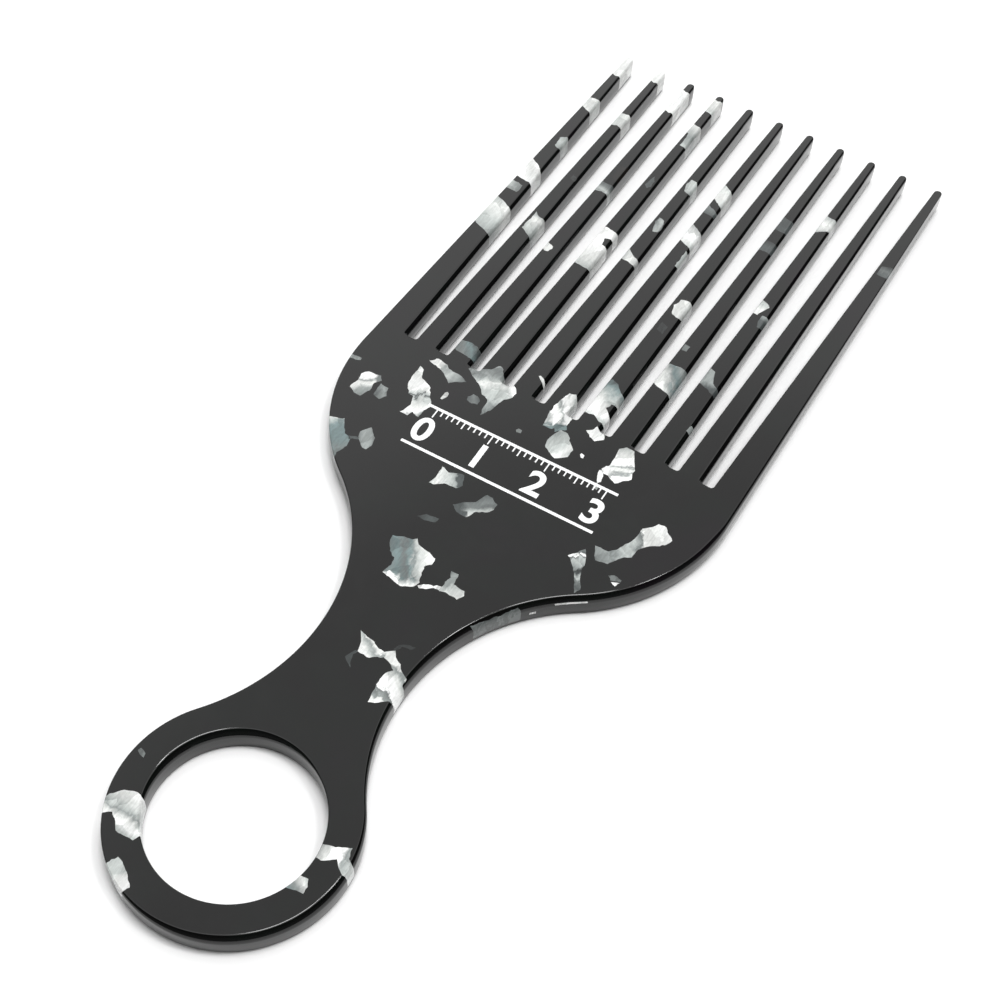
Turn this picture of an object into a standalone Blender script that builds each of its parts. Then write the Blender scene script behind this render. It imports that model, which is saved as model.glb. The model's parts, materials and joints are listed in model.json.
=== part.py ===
# Beard pick cut from one sheet of black acetate with pearl chips set into it
# Lengths are in metres, the pick lies on its back with the teeth along +Y

import math

import bmesh
import bpy
from mathutils import Vector
from mathutils.geometry import tessellate_polygon

MM = 0.001

# Sheet
SHEET_THICKNESS = 3.9 * MM
EDGE_INSET = 0.6 * MM
EDGE_RADIUS = 1.2 * MM
EDGE_STEPS = 3
EDGE_LIMIT_SHARE = 0.45

# Finger ring
BORE_DIAMETER = 25.0 * MM
RING_WALL = 5.2 * MM

# Waist and shoulders
WAIST_WIDTH = 16.0 * MM
WAIST_HEIGHT = 47.0 * MM
FLARE_RADIUS = 31.4 * MM
BODY_WIDTH = 66.3 * MM
SHOULDER_RADIUS = 28.7 * MM

# Teeth
TOOTH_COUNT = 11
OUTER_TOOTH_REACH = 3.15 * MM
TOOTH_LENGTH = 78.0 * MM
ROOT_RISE = 54.0 * MM
SLOT_ROOT_WIDTH = 1.95 * MM
SLOT_CORNER_RADIUS = 0.5 * MM
SLOT_LIMIT_SHARE = 0.49
TIP_WIDTH = 1.4 * MM
OUTER_TIP_INSET = 2.5 * MM

# Pearl chips
CHIP_CLEARANCE = 0.3 * MM
DEEP_CHIP_DEPTH = 3.2 * MM
SHALLOW_CHIP_DEPTH = 1.8 * MM
CUT_OVERRUN = 1.0 * MM

# Steps of the round stretches
ARC_STEP_DEGREES = 6.0
END_STEPS = 6
MITRE_LIMIT = 2.0
SMOOTH_ANGLE_DEGREES = 35.0

PLATE_COLOUR = (0.020, 0.020, 0.022)
TONE_COLOURS = {
    "white": (0.88, 0.89, 0.87),
    "pale": (0.66, 0.70, 0.68),
    "grey": (0.36, 0.39, 0.38),
    "teal": (0.34, 0.44, 0.44),
    "dark": (0.13, 0.15, 0.15),
}
PLATE_ROUGHNESS = 0.14
CHIP_ROUGHNESS = 0.18

# Ring chips: share of a full turn from +X, share of the ring wall from the bore
RING_CHIP_SHARES = (
    ("ring_left", "deep", "white", (
        (0.551, 0.58), (0.549, 0.3), (0.554, 0.07), (0.565, -0.1), (0.6, -0.19),
        (0.628, -0.05), (0.632, 0.21), (0.613, 0.61), (0.595, 0.64), (0.585, 0.74),
        (0.586, 1.09), (0.571, 1.14), (0.56, 0.9),
    )),
    ("ring_lower_left", "deep", "grey", (
        (0.652, 0.66), (0.66, 0.61), (0.682, 0.64), (0.698, 0.75), (0.697, 1.14),
        (0.682, 1.23), (0.654, 1.16),
    )),
    ("ring_right", "deep", "white", (
        (0.039, -0.1), (0.041, 0.36), (0.046, 0.77), (0.03, 0.81), (0.019, 1.2), (0.009, 1.18),
        (0.007, 0.87), (0.014, 0.67), (0.024, 0.53), (0.019, 0.35), (0.011, 0.18),
        (0.014, -0.15),
    )),
    ("ring_bore_right", "deep", "teal", (
        (0.953, -0.15), (0.973, 0.01), (0.976, 0.24), (0.966, 0.37), (0.954, 0.43),
        (0.951, 0.26), (0.939, 0.0),
    )),
)

# Neck chip: shares of half the waist width, across and up from the waist line
NECK_CHIP_SHARES = (
    ("neck", "deep", "white", (
        (-0.3, 0.49), (-0.12, 0.45), (0.03, 0.42), (0.17, 0.35), (0.31, 0.36), (0.46, 0.49),
        (0.54, 0.38), (0.68, 0.3), (0.79, 0.17), (0.94, 0.11), (0.96, -0.05), (1.12, -0.12),
        (1.12, -0.41), (0.93, -0.45), (0.74, -0.6), (0.64, -0.65), (0.59, -0.42),
        (0.54, -0.15), (0.56, -0.01), (0.65, 0.12), (0.55, 0.2), (0.36, 0.24), (0.24, 0.2),
        (0.15, 0.1), (-0.1, 0.1), (-0.16, 0.3),
    )),
)

# Body chips: share of half the width that the body has there, share of the way
# down from the slot roots to the waist line
BODY_CHIP_SHARES = (
    ("body_left_high", "through", "white", (
        (-0.899, 0.194), (-0.874, 0.179), (-0.808, 0.174), (-0.793, 0.187), (-0.817, 0.207),
        (-0.82, 0.235), (-0.854, 0.267), (-0.89, 0.269), (-0.925, 0.256), (-0.901, 0.224),
    )),
    ("body_left_small", "shallow", "grey", (
        (-0.787, 0.198), (-0.744, 0.2), (-0.727, 0.226), (-0.754, 0.248), (-0.796, 0.243),
    )),
    ("body_left_low", "deep", "teal", (
        (-1.049, 0.388), (-0.954, 0.373), (-0.9, 0.362), (-0.9, 0.382), (-0.89, 0.403),
        (-0.853, 0.414), (-0.879, 0.44), (-0.962, 0.474), (-1.067, 0.515), (-1.176, 0.515),
        (-1.114, 0.429),
    )),
    ("body_left_wedge", "shallow", "grey", (
        (-0.741, 0.347), (-0.702, 0.373), (-0.709, 0.396), (-0.741, 0.42), (-0.771, 0.42),
        (-0.806, 0.399), (-0.797, 0.377),
    )),
    ("body_left_large", "through", "white", (
        (-0.679, 0.078), (-0.652, 0.084), (-0.628, 0.116), (-0.566, 0.131), (-0.535, 0.162),
        (-0.503, 0.188), (-0.526, 0.213), (-0.53, 0.243), (-0.571, 0.235), (-0.589, 0.252),
        (-0.626, 0.252), (-0.6, 0.216), (-0.612, 0.187), (-0.639, 0.183), (-0.672, 0.155),
    )),
    ("body_left_top", "shallow", "white", (
        (-0.658, 0.047), (-0.627, 0.024), (-0.573, 0.032), (-0.555, 0.043), (-0.489, 0.043),
        (-0.437, 0.056), (-0.48, 0.069), (-0.507, 0.088), (-0.543, 0.069), (-0.591, 0.056),
    )),
    ("body_spot", "shallow", "dark", (
        (-0.386, 0.099), (-0.371, 0.084), (-0.344, 0.082), (-0.323, 0.093), (-0.326, 0.108),
        (-0.353, 0.116), (-0.377, 0.112),
    )),
    ("body_centre_top", "through", "teal", (
        (0.081, 0.056), (0.121, 0.056), (0.163, 0.082), (0.193, 0.101), (0.193, 0.129),
        (0.146, 0.155), (0.078, 0.134), (0.06, 0.112), (0.072, 0.082),
    )),
    ("body_centre_star", "shallow", "white", (
        (0.187, 0.017), (0.205, 0.007), (0.217, -0.013), (0.259, -0.007), (0.287, 0.019),
        (0.25, 0.039), (0.217, 0.032),
    )),
    ("body_right_top", "through", "white", (
        (0.371, 0.024), (0.395, 0.006), (0.437, 0.009), (0.474, 0.047), (0.495, 0.067),
        (0.492, 0.08), (0.507, 0.099), (0.454, 0.136), (0.426, 0.132), (0.405, 0.121),
        (0.378, 0.125), (0.356, 0.112), (0.38, 0.09), (0.377, 0.06),
    )),
    ("body_low_star", "through", "white", (
        (-0.323, 0.422), (-0.294, 0.388), (-0.292, 0.351), (-0.247, 0.362), (-0.196, 0.347),
        (-0.165, 0.343), (-0.144, 0.377), (-0.161, 0.394), (-0.238, 0.401), (-0.28, 0.416),
    )),
    ("body_low_leaf", "through", "grey", (
        (-0.137, 0.448), (-0.074, 0.422), (-0.029, 0.405), (0.0, 0.366), (0.031, 0.368),
        (0.073, 0.381), (0.082, 0.399), (0.066, 0.418), (0.008, 0.433), (-0.02, 0.465),
        (-0.076, 0.465),
    )),
    ("body_low_sliver", "shallow", "dark", (
        (-0.33, 0.535), (-0.258, 0.515), (-0.167, 0.509), (-0.177, 0.526), (-0.266, 0.535),
    )),
    ("body_low_large", "through", "white", (
        (-0.51, 0.625), (-0.391, 0.612), (-0.305, 0.608), (-0.265, 0.597), (-0.234, 0.612),
        (-0.013, 0.627), (-0.014, 0.649), (-0.066, 0.666), (-0.032, 0.694), (0.0, 0.716),
        (-0.009, 0.735), (-0.173, 0.754), (-0.481, 0.741), (-0.42, 0.709), (-0.416, 0.683),
        (-0.496, 0.674), (-0.517, 0.653),
    )),
    ("body_low_fin", "shallow", "white", (
        (0.263, 0.707), (0.242, 0.675), (0.238, 0.657), (0.202, 0.636), (0.278, 0.636),
        (0.328, 0.67), (0.471, 0.672), (0.529, 0.687), (0.508, 0.707), (0.366, 0.703),
    )),
    ("body_right_wedge", "deep", "white", (
        (0.581, 0.418), (0.604, 0.375), (0.649, 0.397), (0.692, 0.422), (0.736, 0.451),
        (0.809, 0.476), (0.88, 0.497), (0.9, 0.515), (0.818, 0.493), (0.73, 0.463),
        (0.675, 0.446), (0.629, 0.433),
    )),
    ("body_right_large", "through", "white", (
        (0.745, 0.192), (0.784, 0.19), (0.85, 0.222), (0.846, 0.244), (0.796, 0.271),
        (0.775, 0.299), (0.786, 0.33), (0.757, 0.354), (0.752, 0.384), (0.694, 0.392),
        (0.654, 0.373), (0.618, 0.351), (0.69, 0.347), (0.71, 0.325), (0.718, 0.287),
        (0.714, 0.25), (0.704, 0.229), (0.734, 0.209),
    )),
)

# Chips at the slot roots: tooth number, then shares of the tooth pitch from
# the tooth centre and from the root line
ROOT_CHIP_SHARES = (
    (4, "root_left", "deep", "white", (
        (-0.62, -0.07), (-0.52, 0.1), (-0.32, 0.1), (-0.1, 0.23), (0.02, 0.47), (0.15, 0.4),
        (0.27, 0.22), (0.47, 0.13), (0.6, 0.1), (0.78, 0.02), (0.87, -0.12), (0.87, -0.28),
        (0.73, -0.45), (0.65, -0.72), (0.6, -0.97), (0.47, -1.23), (0.4, -1.0), (0.37, -0.7),
        (0.15, -0.62), (-0.12, -0.38), (-0.4, -0.23),
    )),
    (6, "root_centre", "deep", "white", (
        (-0.08, 0.15), (0.03, 0.65), (0.2, 0.72), (0.43, 0.5), (0.57, 0.12), (0.52, -0.12),
        (0.52, -0.32), (0.37, -0.42), (0.25, -0.62), (0.0, -0.63), (-0.07, -0.27),
    )),
)

# Tooth chips: tooth number, then share of the tooth width from its centre,
# share of the tooth length from the root line
TOOTH_CHIP_SHARES = (
    (1, "tooth_01_tip", "deep", "white", (
        (-0.7, 0.929), (0.0, 0.925), (0.7, 0.931), (0.7, 1.013), (-0.7, 1.013),
    )),
    (1, "tooth_01_high", "deep", "white", (
        (-0.7, 0.8), (0.0, 0.79), (0.7, 0.782), (0.7, 0.833), (-0.7, 0.83),
    )),
    (1, "tooth_01_upper_mid", "deep", "pale", (
        (0.0, 0.652), (-0.08, 0.678), (0.31, 0.689), (0.7, 0.676), (0.7, 0.647), (0.3, 0.645),
    )),
    (1, "tooth_01_mid", "deep", "white", (
        (-0.7, 0.523), (0.7, 0.514), (0.7, 0.551), (0.1, 0.574), (-0.7, 0.593),
    )),
    (1, "tooth_01_lower_mid", "deep", "pale", (
        (-0.7, 0.478), (0.15, 0.476), (0.2, 0.5), (-0.1, 0.504), (-0.7, 0.503),
    )),
    (1, "tooth_01_low", "deep", "pale", (
        (-0.7, 0.358), (0.0, 0.343), (0.7, 0.332), (0.7, 0.421), (0.0, 0.436), (-0.7, 0.446),
    )),
    (2, "tooth_02_tip", "deep", "white", (
        (-0.7, 0.959), (0.0, 0.954), (0.7, 0.96), (0.7, 1.013), (-0.7, 1.013),
    )),
    (2, "tooth_02_high", "deep", "pale", (
        (-0.7, 0.777), (0.0, 0.782), (0.7, 0.778), (0.7, 0.827), (-0.7, 0.824),
    )),
    (2, "tooth_02_mid", "deep", "pale", (
        (-0.3, 0.393), (0.1, 0.383), (0.7, 0.37), (0.7, 0.435), (0.0, 0.441), (-0.3, 0.45),
    )),
    (3, "tooth_03_tip", "deep", "white", (
        (-0.7, 0.89), (0.0, 0.885), (0.7, 0.89), (0.7, 0.972), (0.0, 0.968), (-0.7, 0.973),
    )),
    (3, "tooth_03_mid", "deep", "teal", (
        (-0.7, 0.578), (0.0, 0.582), (0.7, 0.578), (0.7, 0.61), (-0.7, 0.612),
    )),
    (3, "tooth_03_root", "deep", "teal", (
        (-0.7, 0.026), (0.0, 0.02), (0.7, 0.018), (0.7, 0.046), (0.0, 0.055), (-0.7, 0.051),
    )),
    (4, "tooth_04_tip", "deep", "grey", (
        (-0.7, 0.937), (0.7, 0.935), (0.7, 0.989), (0.0, 0.983), (-0.7, 0.987),
    )),
    (4, "tooth_04_high", "deep", "pale", (
        (-0.15, 0.806), (0.7, 0.805), (0.7, 0.881), (-0.7, 0.885), (-0.7, 0.852),
        (-0.2, 0.849),
    )),
    (4, "tooth_04_mid", "deep", "white", (
        (-0.7, 0.37), (0.1, 0.365), (0.7, 0.369), (0.7, 0.439), (0.1, 0.444), (0.0, 0.464),
        (0.7, 0.469), (0.7, 0.491), (-0.7, 0.495),
    )),
    (5, "tooth_05_high", "deep", "white", (
        (-0.06, 0.683), (-0.34, 0.704), (-0.2, 0.724), (0.3, 0.723), (0.7, 0.71), (0.7, 0.69),
        (0.4, 0.682),
    )),
    (5, "tooth_05_mid", "deep", "white", (
        (-0.03, 0.539), (-0.34, 0.567), (-0.27, 0.584), (0.13, 0.58), (0.34, 0.558),
        (0.26, 0.542),
    )),
    (5, "tooth_05_low", "deep", "white", (
        (-0.7, 0.435), (0.0, 0.431), (0.7, 0.425), (0.7, 0.443), (0.1, 0.45), (-0.7, 0.472),
    )),
    (6, "tooth_06_high", "deep", "white", (
        (-0.7, 0.704), (0.0, 0.691), (0.7, 0.68), (0.7, 0.732), (0.0, 0.745), (-0.7, 0.756),
    )),
    (6, "tooth_06_upper_mid", "deep", "dark", (
        (-0.7, 0.653), (0.7, 0.647), (0.7, 0.663), (0.0, 0.671), (-0.7, 0.681),
    )),
    (6, "tooth_06_mid", "deep", "white", (
        (-0.7, 0.552), (0.0, 0.543), (0.7, 0.533), (0.7, 0.583), (0.1, 0.596), (-0.7, 0.612),
    )),
    (7, "tooth_07_mid", "deep", "white", (
        (-0.34, 0.378), (-0.2, 0.358), (0.15, 0.349), (0.7, 0.352), (0.7, 0.398),
        (0.15, 0.404), (-0.2, 0.397),
    )),
    (7, "tooth_07_root", "deep", "white", (
        (-0.64, 0.119), (-0.38, 0.131), (-0.08, 0.125), (0.27, 0.11), (0.63, 0.099),
        (0.62, 0.077), (0.23, 0.074), (0.13, 0.059), (0.66, 0.038), (0.65, 0.017),
        (0.15, 0.023), (-0.1, 0.031), (-0.5, 0.026), (-0.68, 0.031),
    )),
    (8, "tooth_08_high", "deep", "dark", (
        (-0.7, 0.695), (0.0, 0.691), (0.7, 0.694), (0.7, 0.732), (-0.7, 0.735),
    )),
    (8, "tooth_08_upper_mid", "deep", "grey", (
        (-0.7, 0.616), (0.0, 0.621), (0.7, 0.617), (0.7, 0.651), (-0.7, 0.653),
    )),
    (8, "tooth_08_low", "deep", "white", (
        (-0.7, 0.171), (0.0, 0.163), (0.7, 0.154), (0.7, 0.23), (0.1, 0.235), (-0.7, 0.23),
    )),
    (9, "tooth_09_high", "deep", "pale", (
        (-1.23, 0.795), (-0.05, 0.791), (1.17, 0.79), (1.13, 0.763), (0.19, 0.747),
        (-0.38, 0.735), (-1.14, 0.732),
    )),
    (9, "tooth_09_upper_mid", "deep", "white", (
        (-0.88, 0.499), (-0.07, 0.489), (0.11, 0.481), (-0.07, 0.467), (-0.21, 0.45),
        (-0.84, 0.448),
    )),
    (9, "tooth_09_mid", "deep", "teal", (
        (0.07, 0.455), (0.91, 0.455), (0.89, 0.421), (0.2, 0.418), (0.03, 0.436),
    )),
    (9, "tooth_09_low", "deep", "grey", (
        (-0.81, 0.268), (-0.18, 0.264), (0.06, 0.235), (0.83, 0.213), (0.71, 0.199),
        (0.06, 0.212), (-0.78, 0.226),
    )),
    (11, "tooth_11_high", "deep", "grey", (
        (-0.28, 0.695), (0.26, 0.693), (0.93, 0.696), (0.97, 0.724), (0.24, 0.728),
        (-0.3, 0.722),
    )),
)


def clear_scene():
    for item in list(bpy.data.objects):
        bpy.data.objects.remove(item, do_unlink=True)


def side_sections():
    # Inset and height up a side wall: upright, and rounded off to both faces
    inset = min(EDGE_INSET, EDGE_RADIUS, EDGE_LIMIT_SHARE * TIP_WIDTH)
    reach = math.acos(1 - inset / EDGE_RADIUS)
    rise = min(EDGE_RADIUS * math.sin(reach), EDGE_LIMIT_SHARE * SHEET_THICKNESS)
    lower = []
    for step in range(EDGE_STEPS + 1):
        turn = reach * (1 - step / EDGE_STEPS)
        height = rise * (1 - math.sin(turn) / math.sin(reach))
        lower.append((EDGE_RADIUS * (1 - math.cos(turn)), height))
    upper = [(across, SHEET_THICKNESS - height) for across, height in reversed(lower)]
    return lower + upper


def ring_radius():
    return BORE_DIAMETER / 2 + RING_WALL


def ring_centre():
    return (0.0, ring_radius())


def neck_arc_radius():
    # Stands upright at the waist and runs tangent into the ring
    half = WAIST_WIDTH / 2
    radius = ring_radius()
    rise = WAIST_HEIGHT - radius
    return (half ** 2 + rise ** 2 - radius ** 2) / (2 * (radius - half))


def shoulder_centre():
    # Runs tangent out of the flare above the waist to the widest place of the body
    across = BODY_WIDTH / 2 - SHOULDER_RADIUS
    gap = WAIST_WIDTH / 2 + FLARE_RADIUS - across
    reach = FLARE_RADIUS + SHOULDER_RADIUS
    return (across, WAIST_HEIGHT + math.sqrt(reach ** 2 - gap ** 2))


def side_reach(height):
    # Half the width of the body at a height above the waist
    across, middle = shoulder_centre()
    rise = middle - WAIST_HEIGHT
    if height > middle:
        return BODY_WIDTH / 2
    if height > middle - rise * SHOULDER_RADIUS / (SHOULDER_RADIUS + FLARE_RADIUS):
        return across + math.sqrt(SHOULDER_RADIUS ** 2 - (height - middle) ** 2)
    flare = WAIST_WIDTH / 2 + FLARE_RADIUS
    return flare - math.sqrt(FLARE_RADIUS ** 2 - (height - WAIST_HEIGHT) ** 2)


def root_height():
    return WAIST_HEIGHT + ROOT_RISE


def tip_height():
    return root_height() + TOOTH_LENGTH


def tooth_pitch():
    return (BODY_WIDTH - 2 * OUTER_TOOTH_REACH) / (TOOTH_COUNT - 1)


def tooth_centre(number):
    return (number - (TOOTH_COUNT + 1) / 2) * tooth_pitch()


def tooth_sides(number, height):
    # Left and right side of one tooth at a height, both straight tapers
    centre = tooth_centre(number)
    root_half = (tooth_pitch() - SLOT_ROOT_WIDTH) / 2
    tip_centre = centre
    left_root = centre - root_half
    right_root = centre + root_half
    if number == 1:
        tip_centre = OUTER_TIP_INSET - BODY_WIDTH / 2
        left_root = -BODY_WIDTH / 2
    if number == TOOTH_COUNT:
        tip_centre = BODY_WIDTH / 2 - OUTER_TIP_INSET
        right_root = BODY_WIDTH / 2
    left_tip = tip_centre - TIP_WIDTH / 2
    right_tip = tip_centre + TIP_WIDTH / 2
    share = (height - root_height()) / TOOTH_LENGTH
    left = left_root + (left_tip - left_root) * share
    right = right_root + (right_tip - right_root) * share
    return left, right


def arc(centre, radius, start, end, steps):
    points = []
    for step in range(steps + 1):
        angle = start + (end - start) * step / steps
        x = centre[0] + radius * math.cos(angle)
        y = centre[1] + radius * math.sin(angle)
        points.append((x, y))
    return points


def arc_steps(start, end):
    return max(2, math.ceil(abs(end - start) / math.radians(ARC_STEP_DEGREES)))


def right_side():
    # From the ring in to the waist, out to the shoulder and up to the teeth
    neck_centre = (WAIST_WIDTH / 2 + neck_arc_radius(), WAIST_HEIGHT)
    flare_centre = (WAIST_WIDTH / 2 + FLARE_RADIUS, WAIST_HEIGHT)
    shoulder = shoulder_centre()
    start = math.pi + math.atan2(WAIST_HEIGHT - ring_radius(), neck_centre[0])
    turn = math.atan2(shoulder[1] - WAIST_HEIGHT, flare_centre[0] - shoulder[0])
    lean = OUTER_TIP_INSET - TIP_WIDTH / 2
    side_angle = math.atan2(lean, tip_height() - shoulder[1])
    steps = arc_steps(start, math.pi)
    neck = arc(neck_centre, neck_arc_radius(), start, math.pi, steps)
    steps = arc_steps(0.0, turn)
    flare = arc(flare_centre, FLARE_RADIUS, math.pi, math.pi - turn, steps)
    steps = arc_steps(-turn, side_angle)
    upper = arc(shoulder, SHOULDER_RADIUS, -turn, side_angle, steps)
    return neck[1:] + flare[1:] + upper[1:]


def tooth_end(number):
    height = tip_height() - TIP_WIDTH / 2
    left, right = tooth_sides(number, tip_height())
    centre = ((left + right) / 2, height)
    return arc(centre, TIP_WIDTH / 2, 0.0, math.pi, END_STEPS)


def slot_end(number):
    # Round root of the slot on the left of a tooth, walked from right to left
    right = tooth_sides(number, root_height())[0]
    left = tooth_sides(number - 1, root_height())[1]
    radius = min(SLOT_CORNER_RADIUS, SLOT_LIMIT_SHARE * (right - left))
    height = root_height() + radius
    steps = END_STEPS // 2
    turn = math.pi / 2
    near = arc((right - radius, height), radius, 0.0, -turn, steps)
    far = arc((left + radius, height), radius, -turn, -2 * turn, steps)
    return near + far


def outer_outline():
    side = right_side()
    rise = WAIST_HEIGHT - ring_radius()
    angle = math.atan2(rise, WAIST_WIDTH / 2 + neck_arc_radius())
    start = math.pi - angle
    end = 2 * math.pi + angle
    steps = 2 * arc_steps(start, (start + end) / 2)
    points = arc(ring_centre(), ring_radius(), start, end, steps)
    points += side
    for number in range(TOOTH_COUNT, 0, -1):
        points += tooth_end(number)
        if number > 1:
            points += slot_end(number)
    points += [(-x, y) for x, y in reversed(side)]
    return points


def bore_outline():
    steps = arc_steps(0.0, 2 * math.pi)
    return arc(ring_centre(), BORE_DIAMETER / 2, 2 * math.pi, 0.0, steps)[:-1]


def moved_in(loop, amount):
    # Moves every side of a loop to its left by the amount
    result = []
    count = len(loop)
    for index, point in enumerate(loop):
        here = Vector(point)
        before = (here - Vector(loop[index - 1])).normalized()
        after = (Vector(loop[(index + 1) % count]) - here).normalized()
        first = Vector((-before.y, before.x))
        second = Vector((-after.y, after.x))
        middle = (first + second).normalized()
        stretch = min(MITRE_LIMIT, 1.0 / max(middle.dot(first), 1.0 / MITRE_LIMIT))
        moved = here + middle * amount * stretch
        result.append((moved.x, moved.y))
    return result


def turned_left(loop):
    area = 0.0
    for index, point in enumerate(loop):
        before = loop[index - 1]
        area += before[0] * point[1] - point[0] * before[1]
    if area < 0:
        return list(reversed(loop))
    return list(loop)


def stacked_mesh(name, layers):
    # Closed body through layers, each one a list of loops at a height
    # Plan heights count from the ring's foot, and the origin is at mid-length
    middle = tip_height() / 2
    mesh_data = bmesh.new()
    rings = []
    for loops, height in layers:
        ring = []
        for loop in loops:
            ring.append([mesh_data.verts.new((x, y - middle, height)) for x, y in loop])
        rings.append(ring)
    for lower, upper in zip(rings, rings[1:]):
        for low_loop, high_loop in zip(lower, upper):
            for index in range(len(low_loop)):
                corners = (low_loop[index - 1], low_loop[index], high_loop[index], high_loop[index - 1])
                mesh_data.faces.new(corners)
    for ring in (rings[0], rings[-1]):
        if len(ring) == 1:
            mesh_data.faces.new(ring[0])
            continue
        flat = [corner for loop in ring for corner in loop]
        outlines = [[corner.co.copy() for corner in loop] for loop in ring]
        for triangle in tessellate_polygon(outlines):
            mesh_data.faces.new([flat[index] for index in triangle])
    bmesh.ops.recalc_face_normals(mesh_data, faces=mesh_data.faces)
    mesh = bpy.data.meshes.new(name)
    mesh_data.to_mesh(mesh)
    mesh_data.free()
    return mesh


def sheet_mesh(name):
    # The whole pick as one sheet with rounded sides
    outlines = [outer_outline(), bore_outline()]
    layers = []
    for inset, height in side_sections():
        layers.append(([moved_in(loop, inset) for loop in outlines], height))
    return stacked_mesh(name, layers)


def prism_mesh(name, loop, low, high):
    return stacked_mesh(name, [([loop], low), ([loop], high)])


def add_object(name, mesh):
    item = bpy.data.objects.new(name, mesh)
    bpy.context.scene.collection.objects.link(item)
    return item


def add_guide(name, mesh):
    item = add_object(name, mesh)
    item.hide_render = True
    item.display_type = "WIRE"
    return item


def add_boolean(item, operation):
    cut = item.modifiers.new(operation.lower(), "BOOLEAN")
    cut.operation = operation
    cut.solver = "EXACT"
    return cut


def finish_mesh(item):
    # Turns the modifiers into the mesh and shades all but the hard edges smooth
    graph = bpy.context.evaluated_depsgraph_get()
    mesh = bpy.data.meshes.new_from_object(item.evaluated_get(graph))
    item.modifiers.clear()
    item.data = mesh
    mesh.name = item.name
    for face in mesh.polygons:
        face.use_smooth = True
    mesh.set_sharp_from_angle(angle=math.radians(SMOOTH_ANGLE_DEGREES))


def add_material(item, colour, roughness):
    material = bpy.data.materials.new(item.name)
    material.use_nodes = True
    shader = material.node_tree.nodes["Principled BSDF"]
    shader.inputs["Base Color"].default_value = (*colour, 1.0)
    shader.inputs["Roughness"].default_value = roughness
    shader.inputs["Metallic"].default_value = 0.0
    item.data.materials.clear()
    item.data.materials.append(material)


def ring_place(turn, wall):
    angle = turn * 2 * math.pi
    radius = BORE_DIAMETER / 2 + wall * RING_WALL
    centre = ring_centre()
    return (centre[0] + radius * math.cos(angle), centre[1] + radius * math.sin(angle))


def neck_place(across, up):
    return (across * WAIST_WIDTH / 2, WAIST_HEIGHT + up * WAIST_WIDTH / 2)


def body_place(across, down):
    height = root_height() - down * ROOT_RISE
    return (across * side_reach(height), height)


def root_place(number, across, up):
    return (tooth_centre(number) + across * tooth_pitch(), root_height() + up * tooth_pitch())


def tooth_place(number, across, along):
    height = root_height() + along * TOOTH_LENGTH
    left, right = tooth_sides(number, height)
    return ((left + right) / 2 + across * (right - left), height)


def chip_outlines():
    # Name, depth, tone and plan outline of every chip
    chips = []
    for name, depth, tone, points in RING_CHIP_SHARES:
        chips.append((name, depth, tone, [ring_place(*point) for point in points]))
    for name, depth, tone, points in NECK_CHIP_SHARES:
        chips.append((name, depth, tone, [neck_place(*point) for point in points]))
    for name, depth, tone, points in BODY_CHIP_SHARES:
        chips.append((name, depth, tone, [body_place(*point) for point in points]))
    for number, name, depth, tone, points in ROOT_CHIP_SHARES:
        chips.append((name, depth, tone, [root_place(number, *point) for point in points]))
    for number, name, depth, tone, points in TOOTH_CHIP_SHARES:
        chips.append((name, depth, tone, [tooth_place(number, *point) for point in points]))
    return chips


def pocket_floor(depth):
    floors = {
        "through": -CUT_OVERRUN,
        "deep": SHEET_THICKNESS - DEEP_CHIP_DEPTH,
        "shallow": SHEET_THICKNESS - SHALLOW_CHIP_DEPTH,
    }
    return floors[depth]


def build_chip(name, depth, tone, outline, sheet):
    low = pocket_floor(depth)
    if depth != "through":
        low += CHIP_CLEARANCE
    loop = moved_in(turned_left(outline), CHIP_CLEARANCE / 2)
    node = "pearl_chip_" + name
    mesh = prism_mesh(node, loop, low, SHEET_THICKNESS + CUT_OVERRUN)
    chip = add_object(node, mesh)
    add_boolean(chip, "INTERSECT").object = sheet
    finish_mesh(chip)
    add_material(chip, TONE_COLOURS[tone], CHIP_ROUGHNESS)


def build_plate(chips):
    plate = add_object("comb_plate", sheet_mesh("comb_plate"))
    pockets = bpy.data.collections.new("pockets")
    for name, depth, tone, outline in chips:
        loop = moved_in(turned_left(outline), -CHIP_CLEARANCE / 2)
        top = SHEET_THICKNESS + CUT_OVERRUN
        mesh = prism_mesh("pocket_" + name, loop, pocket_floor(depth), top)
        pockets.objects.link(add_guide("pocket_" + name, mesh))
    cut = add_boolean(plate, "DIFFERENCE")
    cut.operand_type = "COLLECTION"
    cut.collection = pockets
    finish_mesh(plate)
    add_material(plate, PLATE_COLOUR, PLATE_ROUGHNESS)
    for pocket in list(pockets.objects):
        bpy.data.objects.remove(pocket, do_unlink=True)
    bpy.data.collections.remove(pockets)


def build():
    clear_scene()
    chips = chip_outlines()
    sheet = add_guide("sheet_guide", sheet_mesh("sheet_guide"))
    for name, depth, tone, outline in chips:
        build_chip(name, depth, tone, outline, sheet)
    bpy.data.objects.remove(sheet, do_unlink=True)
    build_plate(chips)


build()
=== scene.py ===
# Looks of the beard pick: black acetate with pearl flakes, dressed over its solids
# Lengths are in metres, the pick lies on its back with the teeth along +Y

import json
import math

import bmesh
import bpy
from mathutils import Matrix, Vector, noise
from mathutils.geometry import tessellate_polygon

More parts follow.
